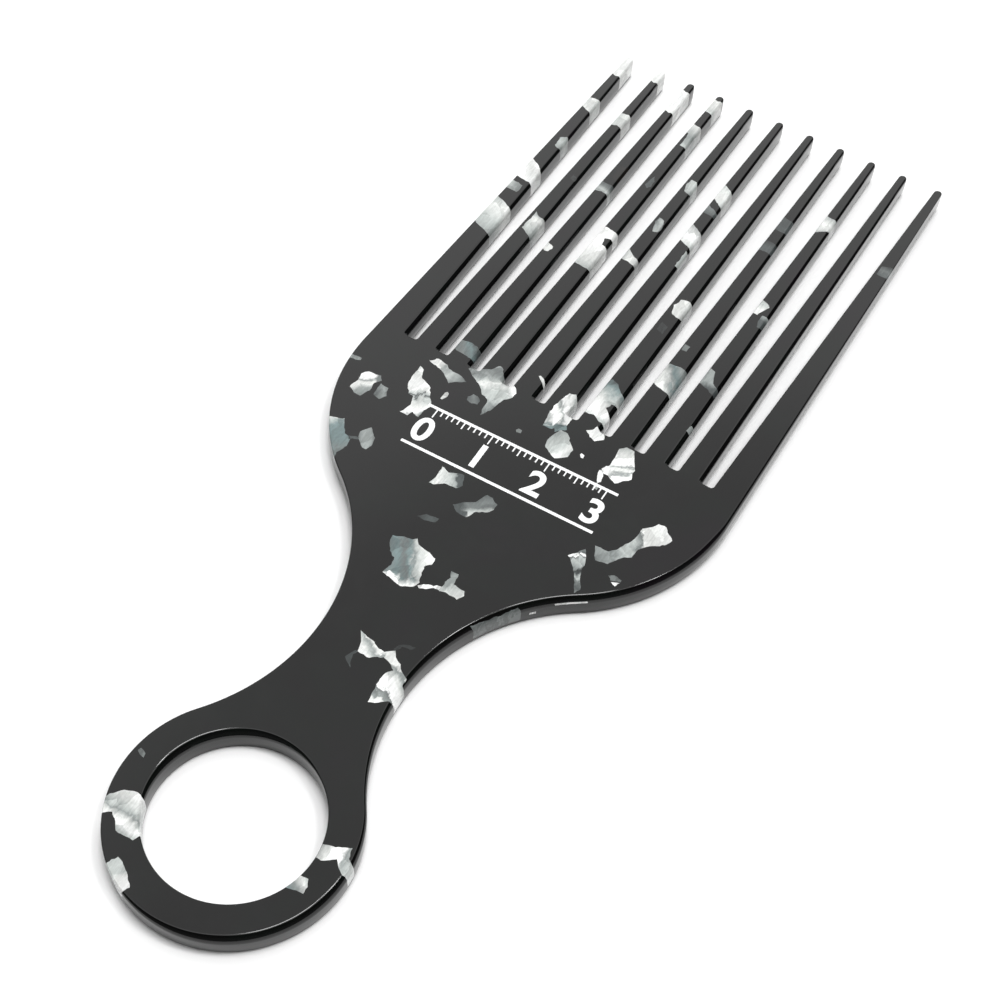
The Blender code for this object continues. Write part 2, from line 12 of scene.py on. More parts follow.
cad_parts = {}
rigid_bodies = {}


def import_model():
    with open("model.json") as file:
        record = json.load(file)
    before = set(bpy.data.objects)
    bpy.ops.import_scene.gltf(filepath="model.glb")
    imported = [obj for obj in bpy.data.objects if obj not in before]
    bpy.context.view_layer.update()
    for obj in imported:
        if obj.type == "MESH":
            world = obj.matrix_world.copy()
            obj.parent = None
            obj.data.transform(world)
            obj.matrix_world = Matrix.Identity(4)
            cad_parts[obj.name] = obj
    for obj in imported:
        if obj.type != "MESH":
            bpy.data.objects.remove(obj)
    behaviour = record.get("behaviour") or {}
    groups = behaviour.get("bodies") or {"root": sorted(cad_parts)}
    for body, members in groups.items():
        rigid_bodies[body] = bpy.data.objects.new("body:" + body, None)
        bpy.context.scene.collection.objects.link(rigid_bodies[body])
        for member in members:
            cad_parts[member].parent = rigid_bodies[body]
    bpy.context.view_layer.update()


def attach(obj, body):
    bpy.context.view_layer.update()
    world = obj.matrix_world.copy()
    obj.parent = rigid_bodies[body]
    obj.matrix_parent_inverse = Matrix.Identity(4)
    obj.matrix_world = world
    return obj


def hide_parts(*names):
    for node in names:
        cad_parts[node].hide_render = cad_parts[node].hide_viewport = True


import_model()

MM = 0.001

# Sheet, with the same sizes as the solids
SHEET_THICKNESS = 3.9 * MM
BEVEL_RADIUS = 1.6 * MM
EASE_RADIUS = 1.2 * MM
ARRIS_RADIUS = 0.46 * MM
BEVEL_TOP_DEGREES = 58.0
BEVEL_FOOT_DEGREES = 24.0
TOOTH_EDGE_SHARE = 0.85
TOOTH_EDGE_START = 67.0 * MM
OUTER_EDGE_SHARE = 0.15
OUTER_EDGE_START = 93.0 * MM
OUTER_EDGE_END = 103.0 * MM
TIP_EDGE_SHARE = 0.5
FAR_EDGE_SHARE = 0.2
LOWER_EDGE_SHARE = 0.15
ROUND_SIDE_DEGREES = -35.0
ROUND_START_SHARE = 0.1
ROUND_END_SHARE = 0.9
WIDEST_SHARE = 0.5
WALL_TOP_BOW = 0.06 * MM
WALL_FOOT_BOW = 0.15 * MM
TOOTH_TOP_BOW = 0.05 * MM
TOOTH_FOOT_BOW = 0.42 * MM

# Finger ring
BORE_DIAMETER = 25.0 * MM
RING_WALL = 5.2 * MM

# Waist and shoulders
WAIST_WIDTH = 16.0 * MM
WAIST_HEIGHT = 47.0 * MM
FLARE_RADIUS = 31.4 * MM
BODY_WIDTH = 66.3 * MM
SHOULDER_RADIUS = 28.7 * MM

# Teeth
TOOTH_COUNT = 11
OUTER_TOOTH_REACH = 3.15 * MM
TOOTH_LENGTH = 78.0 * MM
ROOT_RISE = 54.0 * MM
SLOT_ROOT_WIDTH = 1.95 * MM
SLOT_CORNER_RADIUS = 0.5 * MM
TIP_WIDTH = 1.4 * MM
OUTER_TIP_INSET = 2.5 * MM

# Pearl flakes
DEEP_CHIP_DEPTH = 3.2 * MM
SHALLOW_CHIP_DEPTH = 1.8 * MM
CUT_OVERRUN = 1.0 * MM
TEAR_STEP = 0.45 * MM
TEAR_REACH = 0.22 * MM
TEAR_WAVE = 0.8 * MM
TEAR_SEED = 1795869283
LINE_MARK_FOOT = 2.8 * MM
LINE_MARK_TOP = 3.1 * MM
DOT_MARK_FOOT = 1.6 * MM
DOT_MARK_TOP = 2.1 * MM

# Steps of the round stretches
ARC_STEP_DEGREES = 2.0
END_STEPS = 12
BEVEL_STEPS = 4
EASE_STEPS = 4
ARRIS_STEPS = 3
WALL_STEPS = 9
MITRE_LIMIT = 2.0
SMOOTH_ANGLE_DEGREES = 30.0
FLAT_FACE_SHARE = 0.99999
EDGE_FACE_SHARE = 0.8

# Printed length scale
SCALE_WIDTH = 33.6 * MM
SCALE_FOOT_HEIGHT = 83.1 * MM
SCALE_TOP_HEIGHT = 91.7 * MM
SCALE_RULE_WIDTH = 0.5 * MM
SCALE_STEP = 10.0 * MM
SCALE_STEPS = 3
SCALE_TILT_DEGREES = 1.7
TICKS_PER_STEP = 10
TICKS_PER_HALF_STEP = 5
DIGIT_HEIGHT = 4.5 * MM
DIGIT_CAP_SHARE = 0.7
DIGIT_FOOT_GAP = 1.0 * MM
DIGIT_BOLDNESS = 0.16 * MM
SHORT_TICK = 0.9 * MM
MIDDLE_TICK = 1.3 * MM
LONG_TICK = 1.7 * MM
TICK_WIDTH = 0.22 * MM
INK_DEPTH = 0.012 * MM

# Camera, from the straight lines and circles of the photo
CAMERA_AZIMUTH_DEGREES = 29.643
CAMERA_ELEVATION_DEGREES = 54.005
CAMERA_ROLL_DEGREES = 2.923
CAMERA_DISTANCE = 282.24 * MM
CAMERA_TARGET_ACROSS = 2.06 * MM
CAMERA_TARGET_HEIGHT = 81.41 * MM
CAMERA_LENS = 67.45
CAMERA_SENSOR = 36.0
CAMERA_CLIP_START = 10.0 * MM

# Floor and lamps
FLOOR_SIZE = 1600.0 * MM
FLOOR_DROP = 0.05 * MM
FLOOR_FADE_START = 350.0 * MM
FLOOR_FADE_END = 700.0 * MM
SOFTBOX_SIZE = 340.0 * MM
SOFTBOX_PLACE = (50.0 * MM, 60.0 * MM, 1100.0 * MM)
SOFTBOX_POWER = 5.2
GLINT_SIZE = 150.0 * MM
GLINT_PLACE = (400.0 * MM, 240.0 * MM, 1100.0 * MM)
GLINT_POWER = 2.4
SKY_STRENGTH = 1.7
SKY_RISE_DEGREES = 70.0
SKY_TURN_DEGREES = 100.0
SKY_SHARES = (
    (0.0, 0.07), (0.3, 0.035), (0.6, 0.012), (0.7, 0.006), (0.78, 1.25), (0.85, 1.2),
    (0.88, 0.96), (0.913, 0.865), (0.93, 0.81), (0.942, 0.66), (0.954, 0.57), (1.0, 0.565),
)

# Colours
PLATE_COLOUR = (0.0020, 0.0020, 0.0020)
# Pearl tones; the brightest is partly the pearl's own white and partly painted highlight where the
# flakes catch the light
TONES = {
    "bright": (0.86, 0.87, 0.86),
    "white": (0.70, 0.715, 0.695),
    "pale": (0.44, 0.47, 0.455),
    "silver": (0.27, 0.295, 0.288),
    "grey": (0.15, 0.166, 0.163),
    "teal": (0.155, 0.21, 0.212),
    "dark": (0.062, 0.072, 0.072),
    "smoke": (0.022, 0.025, 0.025),
    "shade": (0.011, 0.0095, 0.008),
}
TONE_SLOTS = {
    "bright": "pearl_white",
    "white": "pearl_white",
    "pale": "pearl_pale",
    "silver": "pearl_pale",
    "grey": "pearl_grey",
    "teal": "pearl_teal",
    "dark": "pearl_dark",
    "smoke": "pearl_dark",
    "shade": "pearl_dark",
}
INK_COLOUR = (0.90, 0.91, 0.91)
FLOOR_COLOUR = (0.95, 0.95, 0.95)
WHITE = (1.0, 1.0, 1.0, 1.0)

# Tints along a ramp: the place, and the share of each part of the colour there
PLATE_TINT_SHARES = (
    (0.3, (0.6, 0.6, 0.6)),
    (0.45, (1.0, 1.0, 1.0)),
    (0.55, (1.0, 1.5, 1.2)),
    (0.7, (1.5, 1.0, 1.5)),
)
FLECK_TINT_SHARES = ((0.85, (0.6, 0.6, 0.6)), (1.0, (1.0, 1.0, 1.0)))
INK_TINT_SHARES = ((0.25, (0.9, 0.9, 0.9)), (0.45, (1.0, 1.0, 1.0)))
FLOOR_TINT_SHARES = ((0.3, (0.985, 0.985, 0.985)), (0.7, (1.0, 1.0, 1.0)))

# Stretched textures: repeats over a metre along X, Y and Z, and the turn in radians
HAIRLINES_ALONG = ((9000.0, 260.0, 900.0), 0.4)
HAIRLINES_ACROSS = ((420.0, 8000.0, 900.0), -0.5)
STREAKS = ((2600.0, 420.0, 500.0), 0.7)
FACETS = ((1.0, 0.55, 1.0), 0.5)
FACETS_PER_METRE = 620.0

# Noises: repeats over a metre or over the stretched texture, detail, roughness, distortion
HAIRLINE_NOISE = (1.0, 3.0, 0.6, 0.0)
WAVE_NOISE = (70.0, 2.0, 0.5, 0.0)
HAZE_NOISE = (160.0, 5.0, 0.6, 0.6)
TINT_NOISE = (55.0, 3.0, 0.55, 0.4)
CRINKLE_NOISE = (520.0, 3.0, 0.6, 0.6)
STREAK_NOISE = (1.0, 4.0, 0.62, 0.9)
PEARL_GRAIN_NOISE = (2400.0, 3.0, 0.6, 0.0)
INK_GRAIN_NOISE = (2600.0, 3.0, 0.6, 0.0)
INK_WEAR_NOISE = (500.0, 4.0, 0.65, 0.0)
FLOOR_NOISE = (60.0, 4.0, 0.5, 0.0)

# Ranges: lowest and highest value taken in, and what they become
HAIRLINE_SHARES = (0.62, 0.78, 0.0, 1.0)
HAZE_ROUGHNESS_SHARES = (0.35, 0.7, 0.05, 0.13)
CRINKLE_SHIFT_SHARES = (0.2, 0.8, -0.11, 0.11)
FACET_SHIFT_SHARES = (0.0, 1.0, -0.05, 0.05)
FACET_LIGHT_SHARES = (0.0, 1.0, 0.8, 1.16)
STREAK_LIGHT_SHARES = (0.3, 0.7, 0.82, 1.14)
GRAIN_LIGHT_SHARES = (0.3, 0.7, 0.95, 1.05)
INK_ROUGHNESS_SHARES = (0.3, 0.7, 0.32, 0.5)
FLOOR_FADE = (FLOOR_FADE_START, FLOOR_FADE_END, 0.0, 1.0)

# Strength of the finishes
ACETATE_IOR = 1.49
HAIRLINE_ROUGHNESS = 0.08
HAIRLINE_HEIGHT_SHARE = -0.15
CRINKLE_REACH = 0.9 * MM
FINISH_DEPTH = 0.02 * MM
INK_GRAIN_DEPTH = 0.01 * MM
POLISH_BUMP_SHARE = 0.12
PEARL_BUMP_SHARE = 0.05
INK_BUMP_SHARE = 0.15
FLOOR_ROUGHNESS = 0.7
FLOOR_GLOSS = 0.2

# Places of the sockets of a colour mix
MIX_FIRST = 6
MIX_SECOND = 7
MIX_RESULT = 2

# Ring chips: share of a full turn from +X, share of the ring wall from the bore
RING_CHIP_SHARES = (
    ("ring_left", "deep", "white", (
        (0.551, 0.58), (0.549, 0.3), (0.554, 0.07), (0.565, -0.1), (0.6, -0.19),
        (0.628, -0.05), (0.632, 0.21), (0.613, 0.61), (0.595, 0.64), (0.585, 0.74),
        (0.586, 1.09), (0.571, 1.14), (0.56, 0.9),
    )),
    ("ring_lower_left", "deep", "grey", (
        (0.652, 0.66), (0.66, 0.61), (0.682, 0.64), (0.698, 0.75), (0.697, 1.14),
        (0.682, 1.23), (0.654, 1.16),
    )),
    ("ring_right", "deep", "white", (
        (0.039, -0.1), (0.041, 0.36), (0.046, 0.77), (0.03, 0.81), (0.019, 1.2), (0.009, 1.18),
        (0.007, 0.87), (0.014, 0.67), (0.024, 0.53), (0.019, 0.35), (0.011, 0.18),
        (0.014, -0.15),
    )),
    ("ring_bore_right", "deep", "teal", (
        (0.953, -0.15), (0.973, 0.01), (0.976, 0.24), (0.966, 0.37), (0.954, 0.43),
        (0.951, 0.26), (0.939, 0.0),
    )),
)

# Neck chip: shares of half the waist width, across and up from the waist line
NECK_CHIP_SHARES = (
    ("neck", "deep", "white", (
        (-0.3, 0.49), (-0.12, 0.45), (0.03, 0.42), (0.17, 0.35), (0.31, 0.36), (0.46, 0.49),
        (0.54, 0.38), (0.68, 0.3), (0.79, 0.17), (0.94, 0.11), (0.96, -0.05), (1.12, -0.12),
        (1.12, -0.41), (0.93, -0.45), (0.74, -0.6), (0.64, -0.65), (0.59, -0.42),
        (0.54, -0.15), (0.56, -0.01), (0.65, 0.12), (0.55, 0.2), (0.36, 0.24), (0.24, 0.2),
        (0.15, 0.1), (-0.1, 0.1), (-0.16, 0.3),
    )),
)

# Body chips: share of half the width that the body has there, share of the way
# down from the slot roots to the waist line
BODY_CHIP_SHARES = (
    ("body_left_high", "through", "white", (
        (-0.899, 0.194), (-0.874, 0.179), (-0.808, 0.174), (-0.793, 0.187), (-0.817, 0.207),
        (-0.82, 0.235), (-0.854, 0.267), (-0.89, 0.269), (-0.925, 0.256), (-0.901, 0.224),
    )),
    ("body_left_small", "shallow", "grey", (
        (-0.787, 0.198), (-0.744, 0.2), (-0.727, 0.226), (-0.754, 0.248), (-0.796, 0.243),
    )),
    ("body_left_low", "deep", "teal", (
        (-1.049, 0.388), (-0.954, 0.373), (-0.9, 0.362), (-0.9, 0.382), (-0.89, 0.403),
        (-0.853, 0.414), (-0.879, 0.44), (-0.962, 0.474), (-1.067, 0.515), (-1.176, 0.515),
        (-1.114, 0.429),
    )),
    ("body_left_wedge", "shallow", "grey", (
        (-0.741, 0.347), (-0.702, 0.373), (-0.709, 0.396), (-0.741, 0.42), (-0.771, 0.42),
        (-0.806, 0.399), (-0.797, 0.377),
    )),
    ("body_left_large", "through", "white", (
        (-0.679, 0.078), (-0.652, 0.084), (-0.628, 0.116), (-0.566, 0.131), (-0.535, 0.162),
        (-0.503, 0.188), (-0.526, 0.213), (-0.53, 0.243), (-0.571, 0.235), (-0.589, 0.252),
        (-0.626, 0.252), (-0.6, 0.216), (-0.612, 0.187), (-0.639, 0.183), (-0.672, 0.155),
    )),
    ("body_left_top", "shallow", "white", (
        (-0.658, 0.047), (-0.627, 0.024), (-0.573, 0.032), (-0.555, 0.043), (-0.489, 0.043),
        (-0.437, 0.056), (-0.48, 0.069), (-0.507, 0.088), (-0.543, 0.069), (-0.591, 0.056),
    )),
    ("body_spot", "shallow", "dark", (
        (-0.386, 0.099), (-0.371, 0.084), (-0.344, 0.082), (-0.323, 0.093), (-0.326, 0.108),
        (-0.353, 0.116), (-0.377, 0.112),
    )),
    ("body_centre_top", "through", "teal", (
        (0.081, 0.056), (0.121, 0.056), (0.163, 0.082), (0.193, 0.101), (0.193, 0.129),
        (0.146, 0.155), (0.078, 0.134), (0.06, 0.112), (0.072, 0.082),
    )),
    ("body_centre_star", "shallow", "white", (
        (0.187, 0.017), (0.205, 0.007), (0.217, -0.013), (0.259, -0.007), (0.287, 0.019),
        (0.25, 0.039), (0.217, 0.032),
    )),
    ("body_right_top", "through", "white", (
        (0.371, 0.024), (0.395, 0.006), (0.437, 0.009), (0.474, 0.047), (0.495, 0.067),
        (0.492, 0.08), (0.507, 0.099), (0.454, 0.136), (0.426, 0.132), (0.405, 0.121),
        (0.378, 0.125), (0.356, 0.112), (0.38, 0.09), (0.377, 0.06),
    )),
    ("body_low_star", "through", "white", (
        (-0.323, 0.422), (-0.294, 0.388), (-0.292, 0.351), (-0.247, 0.362), (-0.196, 0.347),
        (-0.165, 0.343), (-0.144, 0.377), (-0.161, 0.394), (-0.238, 0.401), (-0.28, 0.416),
    )),
    ("body_low_leaf", "through", "grey", (
        (-0.137, 0.448), (-0.074, 0.422), (-0.029, 0.405), (0.0, 0.366), (0.031, 0.368),
        (0.073, 0.381), (0.082, 0.399), (0.066, 0.418), (0.008, 0.433), (-0.02, 0.465),
        (-0.076, 0.465),
    )),
    ("body_low_sliver", "shallow", "dark", (
        (-0.33, 0.535), (-0.258, 0.515), (-0.167, 0.509), (-0.177, 0.526), (-0.266, 0.535),
    )),
    ("body_low_large", "through", "white", (
        (-0.51, 0.625), (-0.391, 0.612), (-0.305, 0.608), (-0.265, 0.597), (-0.234, 0.612),
        (-0.013, 0.627), (-0.014, 0.649), (-0.066, 0.666), (-0.032, 0.694), (0.0, 0.716),
        (-0.009, 0.735), (-0.173, 0.754), (-0.481, 0.741), (-0.42, 0.709), (-0.416, 0.683),
        (-0.496, 0.674), (-0.517, 0.653),
    )),
    ("body_low_fin", "shallow", "white", (
        (0.263, 0.707), (0.242, 0.675), (0.238, 0.657), (0.202, 0.636), (0.278, 0.636),
        (0.328, 0.67), (0.471, 0.672), (0.529, 0.687), (0.508, 0.707), (0.366, 0.703),
    )),
    ("body_right_wedge", "deep", "white", (
        (0.581, 0.418), (0.604, 0.375), (0.649, 0.397), (0.692, 0.422), (0.736, 0.451),
        (0.809, 0.476), (0.88, 0.497), (0.9, 0.515), (0.818, 0.493), (0.73, 0.463),
        (0.675, 0.446), (0.629, 0.433),
    )),
    ("body_right_large", "through", "white", (
        (0.745, 0.192), (0.784, 0.19), (0.85, 0.222), (0.846, 0.244), (0.796, 0.271),
        (0.775, 0.299), (0.786, 0.33), (0.757, 0.354), (0.752, 0.384), (0.694, 0.392),
        (0.654, 0.373), (0.618, 0.351), (0.69, 0.347), (0.71, 0.325), (0.718, 0.287),
        (0.714, 0.25), (0.704, 0.229), (0.734, 0.209),
    )),
)

# Chips at the slot roots: tooth number, then shares of the tooth pitch from
# the tooth centre and from the root line
ROOT_CHIP_SHARES = (
    (4, "root_left", "deep", "white", (
        (-0.62, -0.07), (-0.52, 0.1), (-0.32, 0.1), (-0.1, 0.23), (0.02, 0.47), (0.15, 0.4),
        (0.27, 0.22), (0.47, 0.13), (0.6, 0.1), (0.78, 0.02), (0.87, -0.12), (0.87, -0.28),
        (0.73, -0.45), (0.65, -0.72), (0.6, -0.97), (0.47, -1.23), (0.4, -1.0), (0.37, -0.7),
        (0.15, -0.62), (-0.12, -0.38), (-0.4, -0.23),
    )),
    (6, "root_centre", "deep", "white", (
        (-0.08, 0.15), (0.03, 0.65), (0.2, 0.72), (0.43, 0.5), (0.57, 0.12), (0.52, -0.12),
        (0.52, -0.32), (0.37, -0.42), (0.25, -0.62), (0.0, -0.63), (-0.07, -0.27),
    )),
)

# Tooth chips: tooth number, then share of the tooth width from its centre,
# share of the tooth length from the root line
TOOTH_CHIP_SHARES = (
    (1, "tooth_01_tip", "deep", "white", (
        (-0.7, 0.929), (0.0, 0.925), (0.7, 0.931), (0.7, 1.013), (-0.7, 1.013),
    )),
    (1, "tooth_01_high", "deep", "white", (
        (-0.7, 0.8), (0.0, 0.79), (0.7, 0.782), (0.7, 0.833), (-0.7, 0.83),
    )),
    (1, "tooth_01_upper_mid", "deep", "pale", (
        (0.0, 0.652), (-0.08, 0.678), (0.31, 0.689), (0.7, 0.676), (0.7, 0.647), (0.3, 0.645),
    )),
    (1, "tooth_01_mid", "deep", "white", (
        (-0.7, 0.523), (0.7, 0.514), (0.7, 0.551), (0.1, 0.574), (-0.7, 0.593),
    )),
    (1, "tooth_01_lower_mid", "deep", "pale", (
        (-0.7, 0.478), (0.15, 0.476), (0.2, 0.5), (-0.1, 0.504), (-0.7, 0.503),
    )),
    (1, "tooth_01_low", "deep", "pale", (
        (-0.7, 0.358), (0.0, 0.343), (0.7, 0.332), (0.7, 0.421), (0.0, 0.436), (-0.7, 0.446),
    )),
    (2, "tooth_02_tip", "deep", "white", (
        (-0.7, 0.959), (0.0, 0.954), (0.7, 0.96), (0.7, 1.013), (-0.7, 1.013),
    )),
    (2, "tooth_02_high", "deep", "pale", (
        (-0.7, 0.777), (0.0, 0.782), (0.7, 0.778), (0.7, 0.827), (-0.7, 0.824),
    )),
    (2, "tooth_02_mid", "deep", "pale", (
        (-0.3, 0.393), (0.1, 0.383), (0.7, 0.37), (0.7, 0.435), (0.0, 0.441), (-0.3, 0.45),
    )),
    (3, "tooth_03_tip", "deep", "white", (
        (-0.7, 0.89), (0.0, 0.885), (0.7, 0.89), (0.7, 0.972), (0.0, 0.968), (-0.7, 0.973),
    )),
    (3, "tooth_03_mid", "deep", "teal", (
        (-0.7, 0.578), (0.0, 0.582), (0.7, 0.578), (0.7, 0.61), (-0.7, 0.612),
    )),
    (3, "tooth_03_root", "deep", "teal", (
        (-0.7, 0.026), (0.0, 0.02), (0.7, 0.018), (0.7, 0.046), (0.0, 0.055), (-0.7, 0.051),
    )),
    (4, "tooth_04_tip", "deep", "grey", (
        (-0.7, 0.937), (0.7, 0.935), (0.7, 0.989), (0.0, 0.983), (-0.7, 0.987),
    )),
    (4, "tooth_04_high", "deep", "pale", (
        (-0.15, 0.806), (0.7, 0.805), (0.7, 0.881), (-0.7, 0.885), (-0.7, 0.852),
        (-0.2, 0.849),
    )),
    (4, "tooth_04_mid", "deep", "white", (
        (-0.7, 0.37), (0.1, 0.365), (0.7, 0.369), (0.7, 0.439), (0.1, 0.444), (0.0, 0.464),
        (0.7, 0.469), (0.7, 0.491), (-0.7, 0.495),
    )),
    (5, "tooth_05_high", "deep", "white", (
        (-0.06, 0.683), (-0.34, 0.704), (-0.2, 0.724), (0.3, 0.723), (0.7, 0.71), (0.7, 0.69),
        (0.4, 0.682),
    )),
    (5, "tooth_05_mid", "deep", "white", (
        (-0.03, 0.539), (-0.34, 0.567), (-0.27, 0.584), (0.13, 0.58), (0.34, 0.558),
        (0.26, 0.542),
    )),
    (5, "tooth_05_low", "deep", "white", (
        (-0.7, 0.435), (0.0, 0.431), (0.7, 0.425), (0.7, 0.443), (0.1, 0.45), (-0.7, 0.472),
    )),
    (6, "tooth_06_high", "deep", "white", (
        (-0.7, 0.704), (0.0, 0.691), (0.7, 0.68), (0.7, 0.732), (0.0, 0.745), (-0.7, 0.756),
    )),
    (6, "tooth_06_upper_mid", "deep", "dark", (
        (-0.7, 0.653), (0.7, 0.647), (0.7, 0.663), (0.0, 0.671), (-0.7, 0.681),
    )),
    (6, "tooth_06_mid", "deep", "white", (
        (-0.7, 0.552), (0.0, 0.543), (0.7, 0.533), (0.7, 0.583), (0.1, 0.596), (-0.7, 0.612),
    )),
    (7, "tooth_07_mid", "deep", "white", (
        (-0.34, 0.378), (-0.2, 0.358), (0.15, 0.349), (0.7, 0.352), (0.7, 0.398),
        (0.15, 0.404), (-0.2, 0.397),
    )),
    (7, "tooth_07_root", "deep", "white", (
        (-0.64, 0.119), (-0.38, 0.131), (-0.08, 0.125), (0.27, 0.11), (0.63, 0.099),
        (0.62, 0.077), (0.23, 0.074), (0.13, 0.059), (0.66, 0.038), (0.65, 0.017),
        (0.15, 0.023), (-0.1, 0.031), (-0.5, 0.026), (-0.68, 0.031),
    )),
    (8, "tooth_08_high", "deep", "dark", (
        (-0.7, 0.695), (0.0, 0.691), (0.7, 0.694), (0.7, 0.732), (-0.7, 0.735),
    )),
    (8, "tooth_08_upper_mid", "deep", "grey", (
        (-0.7, 0.616), (0.0, 0.621), (0.7, 0.617), (0.7, 0.651), (-0.7, 0.653),
    )),
    (8, "tooth_08_low", "deep", "white", (
        (-0.7, 0.171), (0.0, 0.163), (0.7, 0.154), (0.7, 0.23), (0.1, 0.235), (-0.7, 0.23),
    )),
    (9, "tooth_09_high", "deep", "pale", (
        (-1.23, 0.795), (-0.05, 0.791), (1.17, 0.79), (1.13, 0.763), (0.19, 0.747),
        (-0.38, 0.735), (-1.14, 0.732),
    )),
    (9, "tooth_09_upper_mid", "deep", "white", (
        (-0.88, 0.499), (-0.07, 0.489), (0.11, 0.481), (-0.07, 0.467), (-0.21, 0.45),
        (-0.84, 0.448),
    )),
    (9, "tooth_09_mid", "deep", "teal", (
        (0.07, 0.455), (0.91, 0.455), (0.89, 0.421), (0.2, 0.418), (0.03, 0.436),
    )),
    (9, "tooth_09_low", "deep", "grey", (
        (-0.81, 0.268), (-0.18, 0.264), (0.06, 0.235), (0.83, 0.213), (0.71, 0.199),
        (0.06, 0.212), (-0.78, 0.226),
    )),
    (11, "tooth_11_high", "deep", "grey", (
        (-0.28, 0.695), (0.26, 0.693), (0.93, 0.696), (0.97, 0.724), (0.24, 0.728),
        (-0.3, 0.722),
    )),
)

# Small flecks and the marks in the side walls, placed as the flakes are
RING_FLECK_SHARES = (
    ("ring", "shallow", "grey", (
        (0.492, 0.86), (0.487, 0.84), (0.489, 0.64), (0.497, 0.61), (0.496, 0.72),
    )),
)

NECK_FLECK_SHARES = (
    ("neck_left", "shallow", "dark", (
        (-0.22, -0.11), (-0.2, -0.05), (-0.18, 0.05), (-0.15, 0.11), (-0.09, 0.1),
        (-0.13, 0.01), (-0.09, -0.11), (-0.02, -0.25), (-0.1, -0.19), (-0.17, -0.16),
    )),
    ("neck_right", "shallow", "smoke", (
        (0.41, 0.5), (0.43, 0.58), (0.51, 0.67), (0.62, 0.7), (0.74, 0.72),
        (0.68, 0.64), (0.61, 0.63), (0.52, 0.61), (0.47, 0.52), (0.46, 0.47),
    )),
)

BODY_FLECK_SHARES = (
    ("left_tail", "shallow", "white", (
        (-0.489, 0.131), (-0.488, 0.124), (-0.481, 0.118), (-0.471, 0.122), (-0.471, 0.131),
        (-0.477, 0.14), (-0.48, 0.151), (-0.488, 0.15), (-0.489, 0.14),
    )),
    ("left_side", "shallow", "silver", (
        (-1.016, 0.15), (-0.978, 0.15), (-0.941, 0.15), (-0.94, 0.156), (-0.962, 0.163),
        (-0.996, 0.167),
    )),
    ("left_link", "shallow", "dark", (
        (-0.866, 0.409), (-0.833, 0.4), (-0.802, 0.396), (-0.802, 0.404), (-0.841, 0.409),
        (-0.865, 0.417),
    )),
    ("rule", "shallow", "silver", (
        (-0.092, 0.128), (-0.084, 0.12), (-0.067, 0.121), (-0.064, 0.129), (-0.08, 0.132),
    )),
    ("low_link", "shallow", "bright", (
        (0.012, 0.725), (0.061, 0.714), (0.148, 0.706), (0.177, 0.705), (0.198, 0.697),
        (0.253, 0.695), (0.266, 0.705), (0.191, 0.71), (0.155, 0.717), (0.053, 0.732),
    )),
    ("root_sliver", "shallow", "white", (
        (-0.17, -0.079), (-0.164, -0.084), (-0.139, -0.078), (-0.111, -0.065), (-0.11, -0.056),
        (-0.135, -0.064), (-0.154, -0.071),
    )),
    ("dot", "shallow", "bright", (
        (0.235, 0.104), (0.238, 0.096), (0.253, 0.098), (0.256, 0.108), (0.244, 0.11),
    )),
    ("tail", "shallow", "bright", (
        (0.353, 0.117), (0.37, 0.116), (0.387, 0.134), (0.396, 0.152), (0.387, 0.163),
        (0.365, 0.14), (0.358, 0.127),
    )),
    ("tail_end", "shallow", "pale", (
        (0.373, 0.171), (0.384, 0.162), (0.406, 0.172), (0.406, 0.185), (0.389, 0.184),
    )),
    ("right", "shallow", "grey", (
        (0.827, 0.415), (0.857, 0.406), (0.897, 0.412), (0.909, 0.419), (0.864, 0.426),
    )),
    ("centre_link", "shallow", "teal", (
        (0.054, 0.061), (0.065, 0.045), (0.093, 0.035), (0.11, 0.047), (0.084, 0.056),
        (0.068, 0.072),
    )),
    ("right_tip", "shallow", "bright", (
        (0.913, 0.422), (0.926, 0.437), (0.904, 0.435), (0.882, 0.43),
    )),
    ("mark_line", "line", "bright", (
        (0.97, 0.568), (1.06, 0.568), (1.04, 0.512), (0.975, 0.512),
    )),
    ("mark_dot", "dot", "bright", (
        (0.97, 0.618), (1.05, 0.618), (1.05, 0.603), (0.97, 0.603),
    )),
    ("mark_stain", "deep", "grey", (
        (0.94, 0.755), (1.1, 0.755), (1.08, 0.636), (0.957, 0.636),
    )),
)

TOOTH_FLECK_SHARES = (
    (3, "tooth_03", "shallow", "white", (
        (-0.61, 0.369), (-0.5, 0.387), (-0.08, 0.381), (-0.11, 0.362), (-0.37, 0.361),
    )),
    (4, "tooth_04", "shallow", "dark", (
        (-0.24, 0.654), (-0.19, 0.677), (-0.07, 0.687), (0.15, 0.675), (0.19, 0.654),
        (0.01, 0.647),
    )),
    (2, "tooth_02", "shallow", "smoke", (
        (-0.09, 0.579), (0.02, 0.592), (0.34, 0.588), (0.32, 0.573),
    )),
    (3, "tooth_03_upper", "shallow", "shade", (
        (-0.14, 0.634), (-0.14, 0.672), (0.63, 0.684), (0.7, 0.641), (0.61, 0.623),
    )),
    (8, "tooth_08", "shallow", "grey", (
        (-0.41, 0.278), (-0.41, 0.296), (-0.14, 0.294), (-0.13, 0.279),
    )),
    (7, "tooth_07", "shallow", "smoke", (
        (-0.26, 0.299), (-0.24, 0.322), (0.16, 0.316), (0.14, 0.295),
    )),
    (6, "mark_tooth_06", "shallow", "pale", (
        (0.32, 0.477), (0.68, 0.48), (0.68, 0.523), (0.3, 0.528),
    )),
    (9, "mark_tooth_09", "shallow", "silver", (
        (0.34, 0.097), (0.68, 0.096), (0.67, 0.114), (0.37, 0.115),
    )),
)

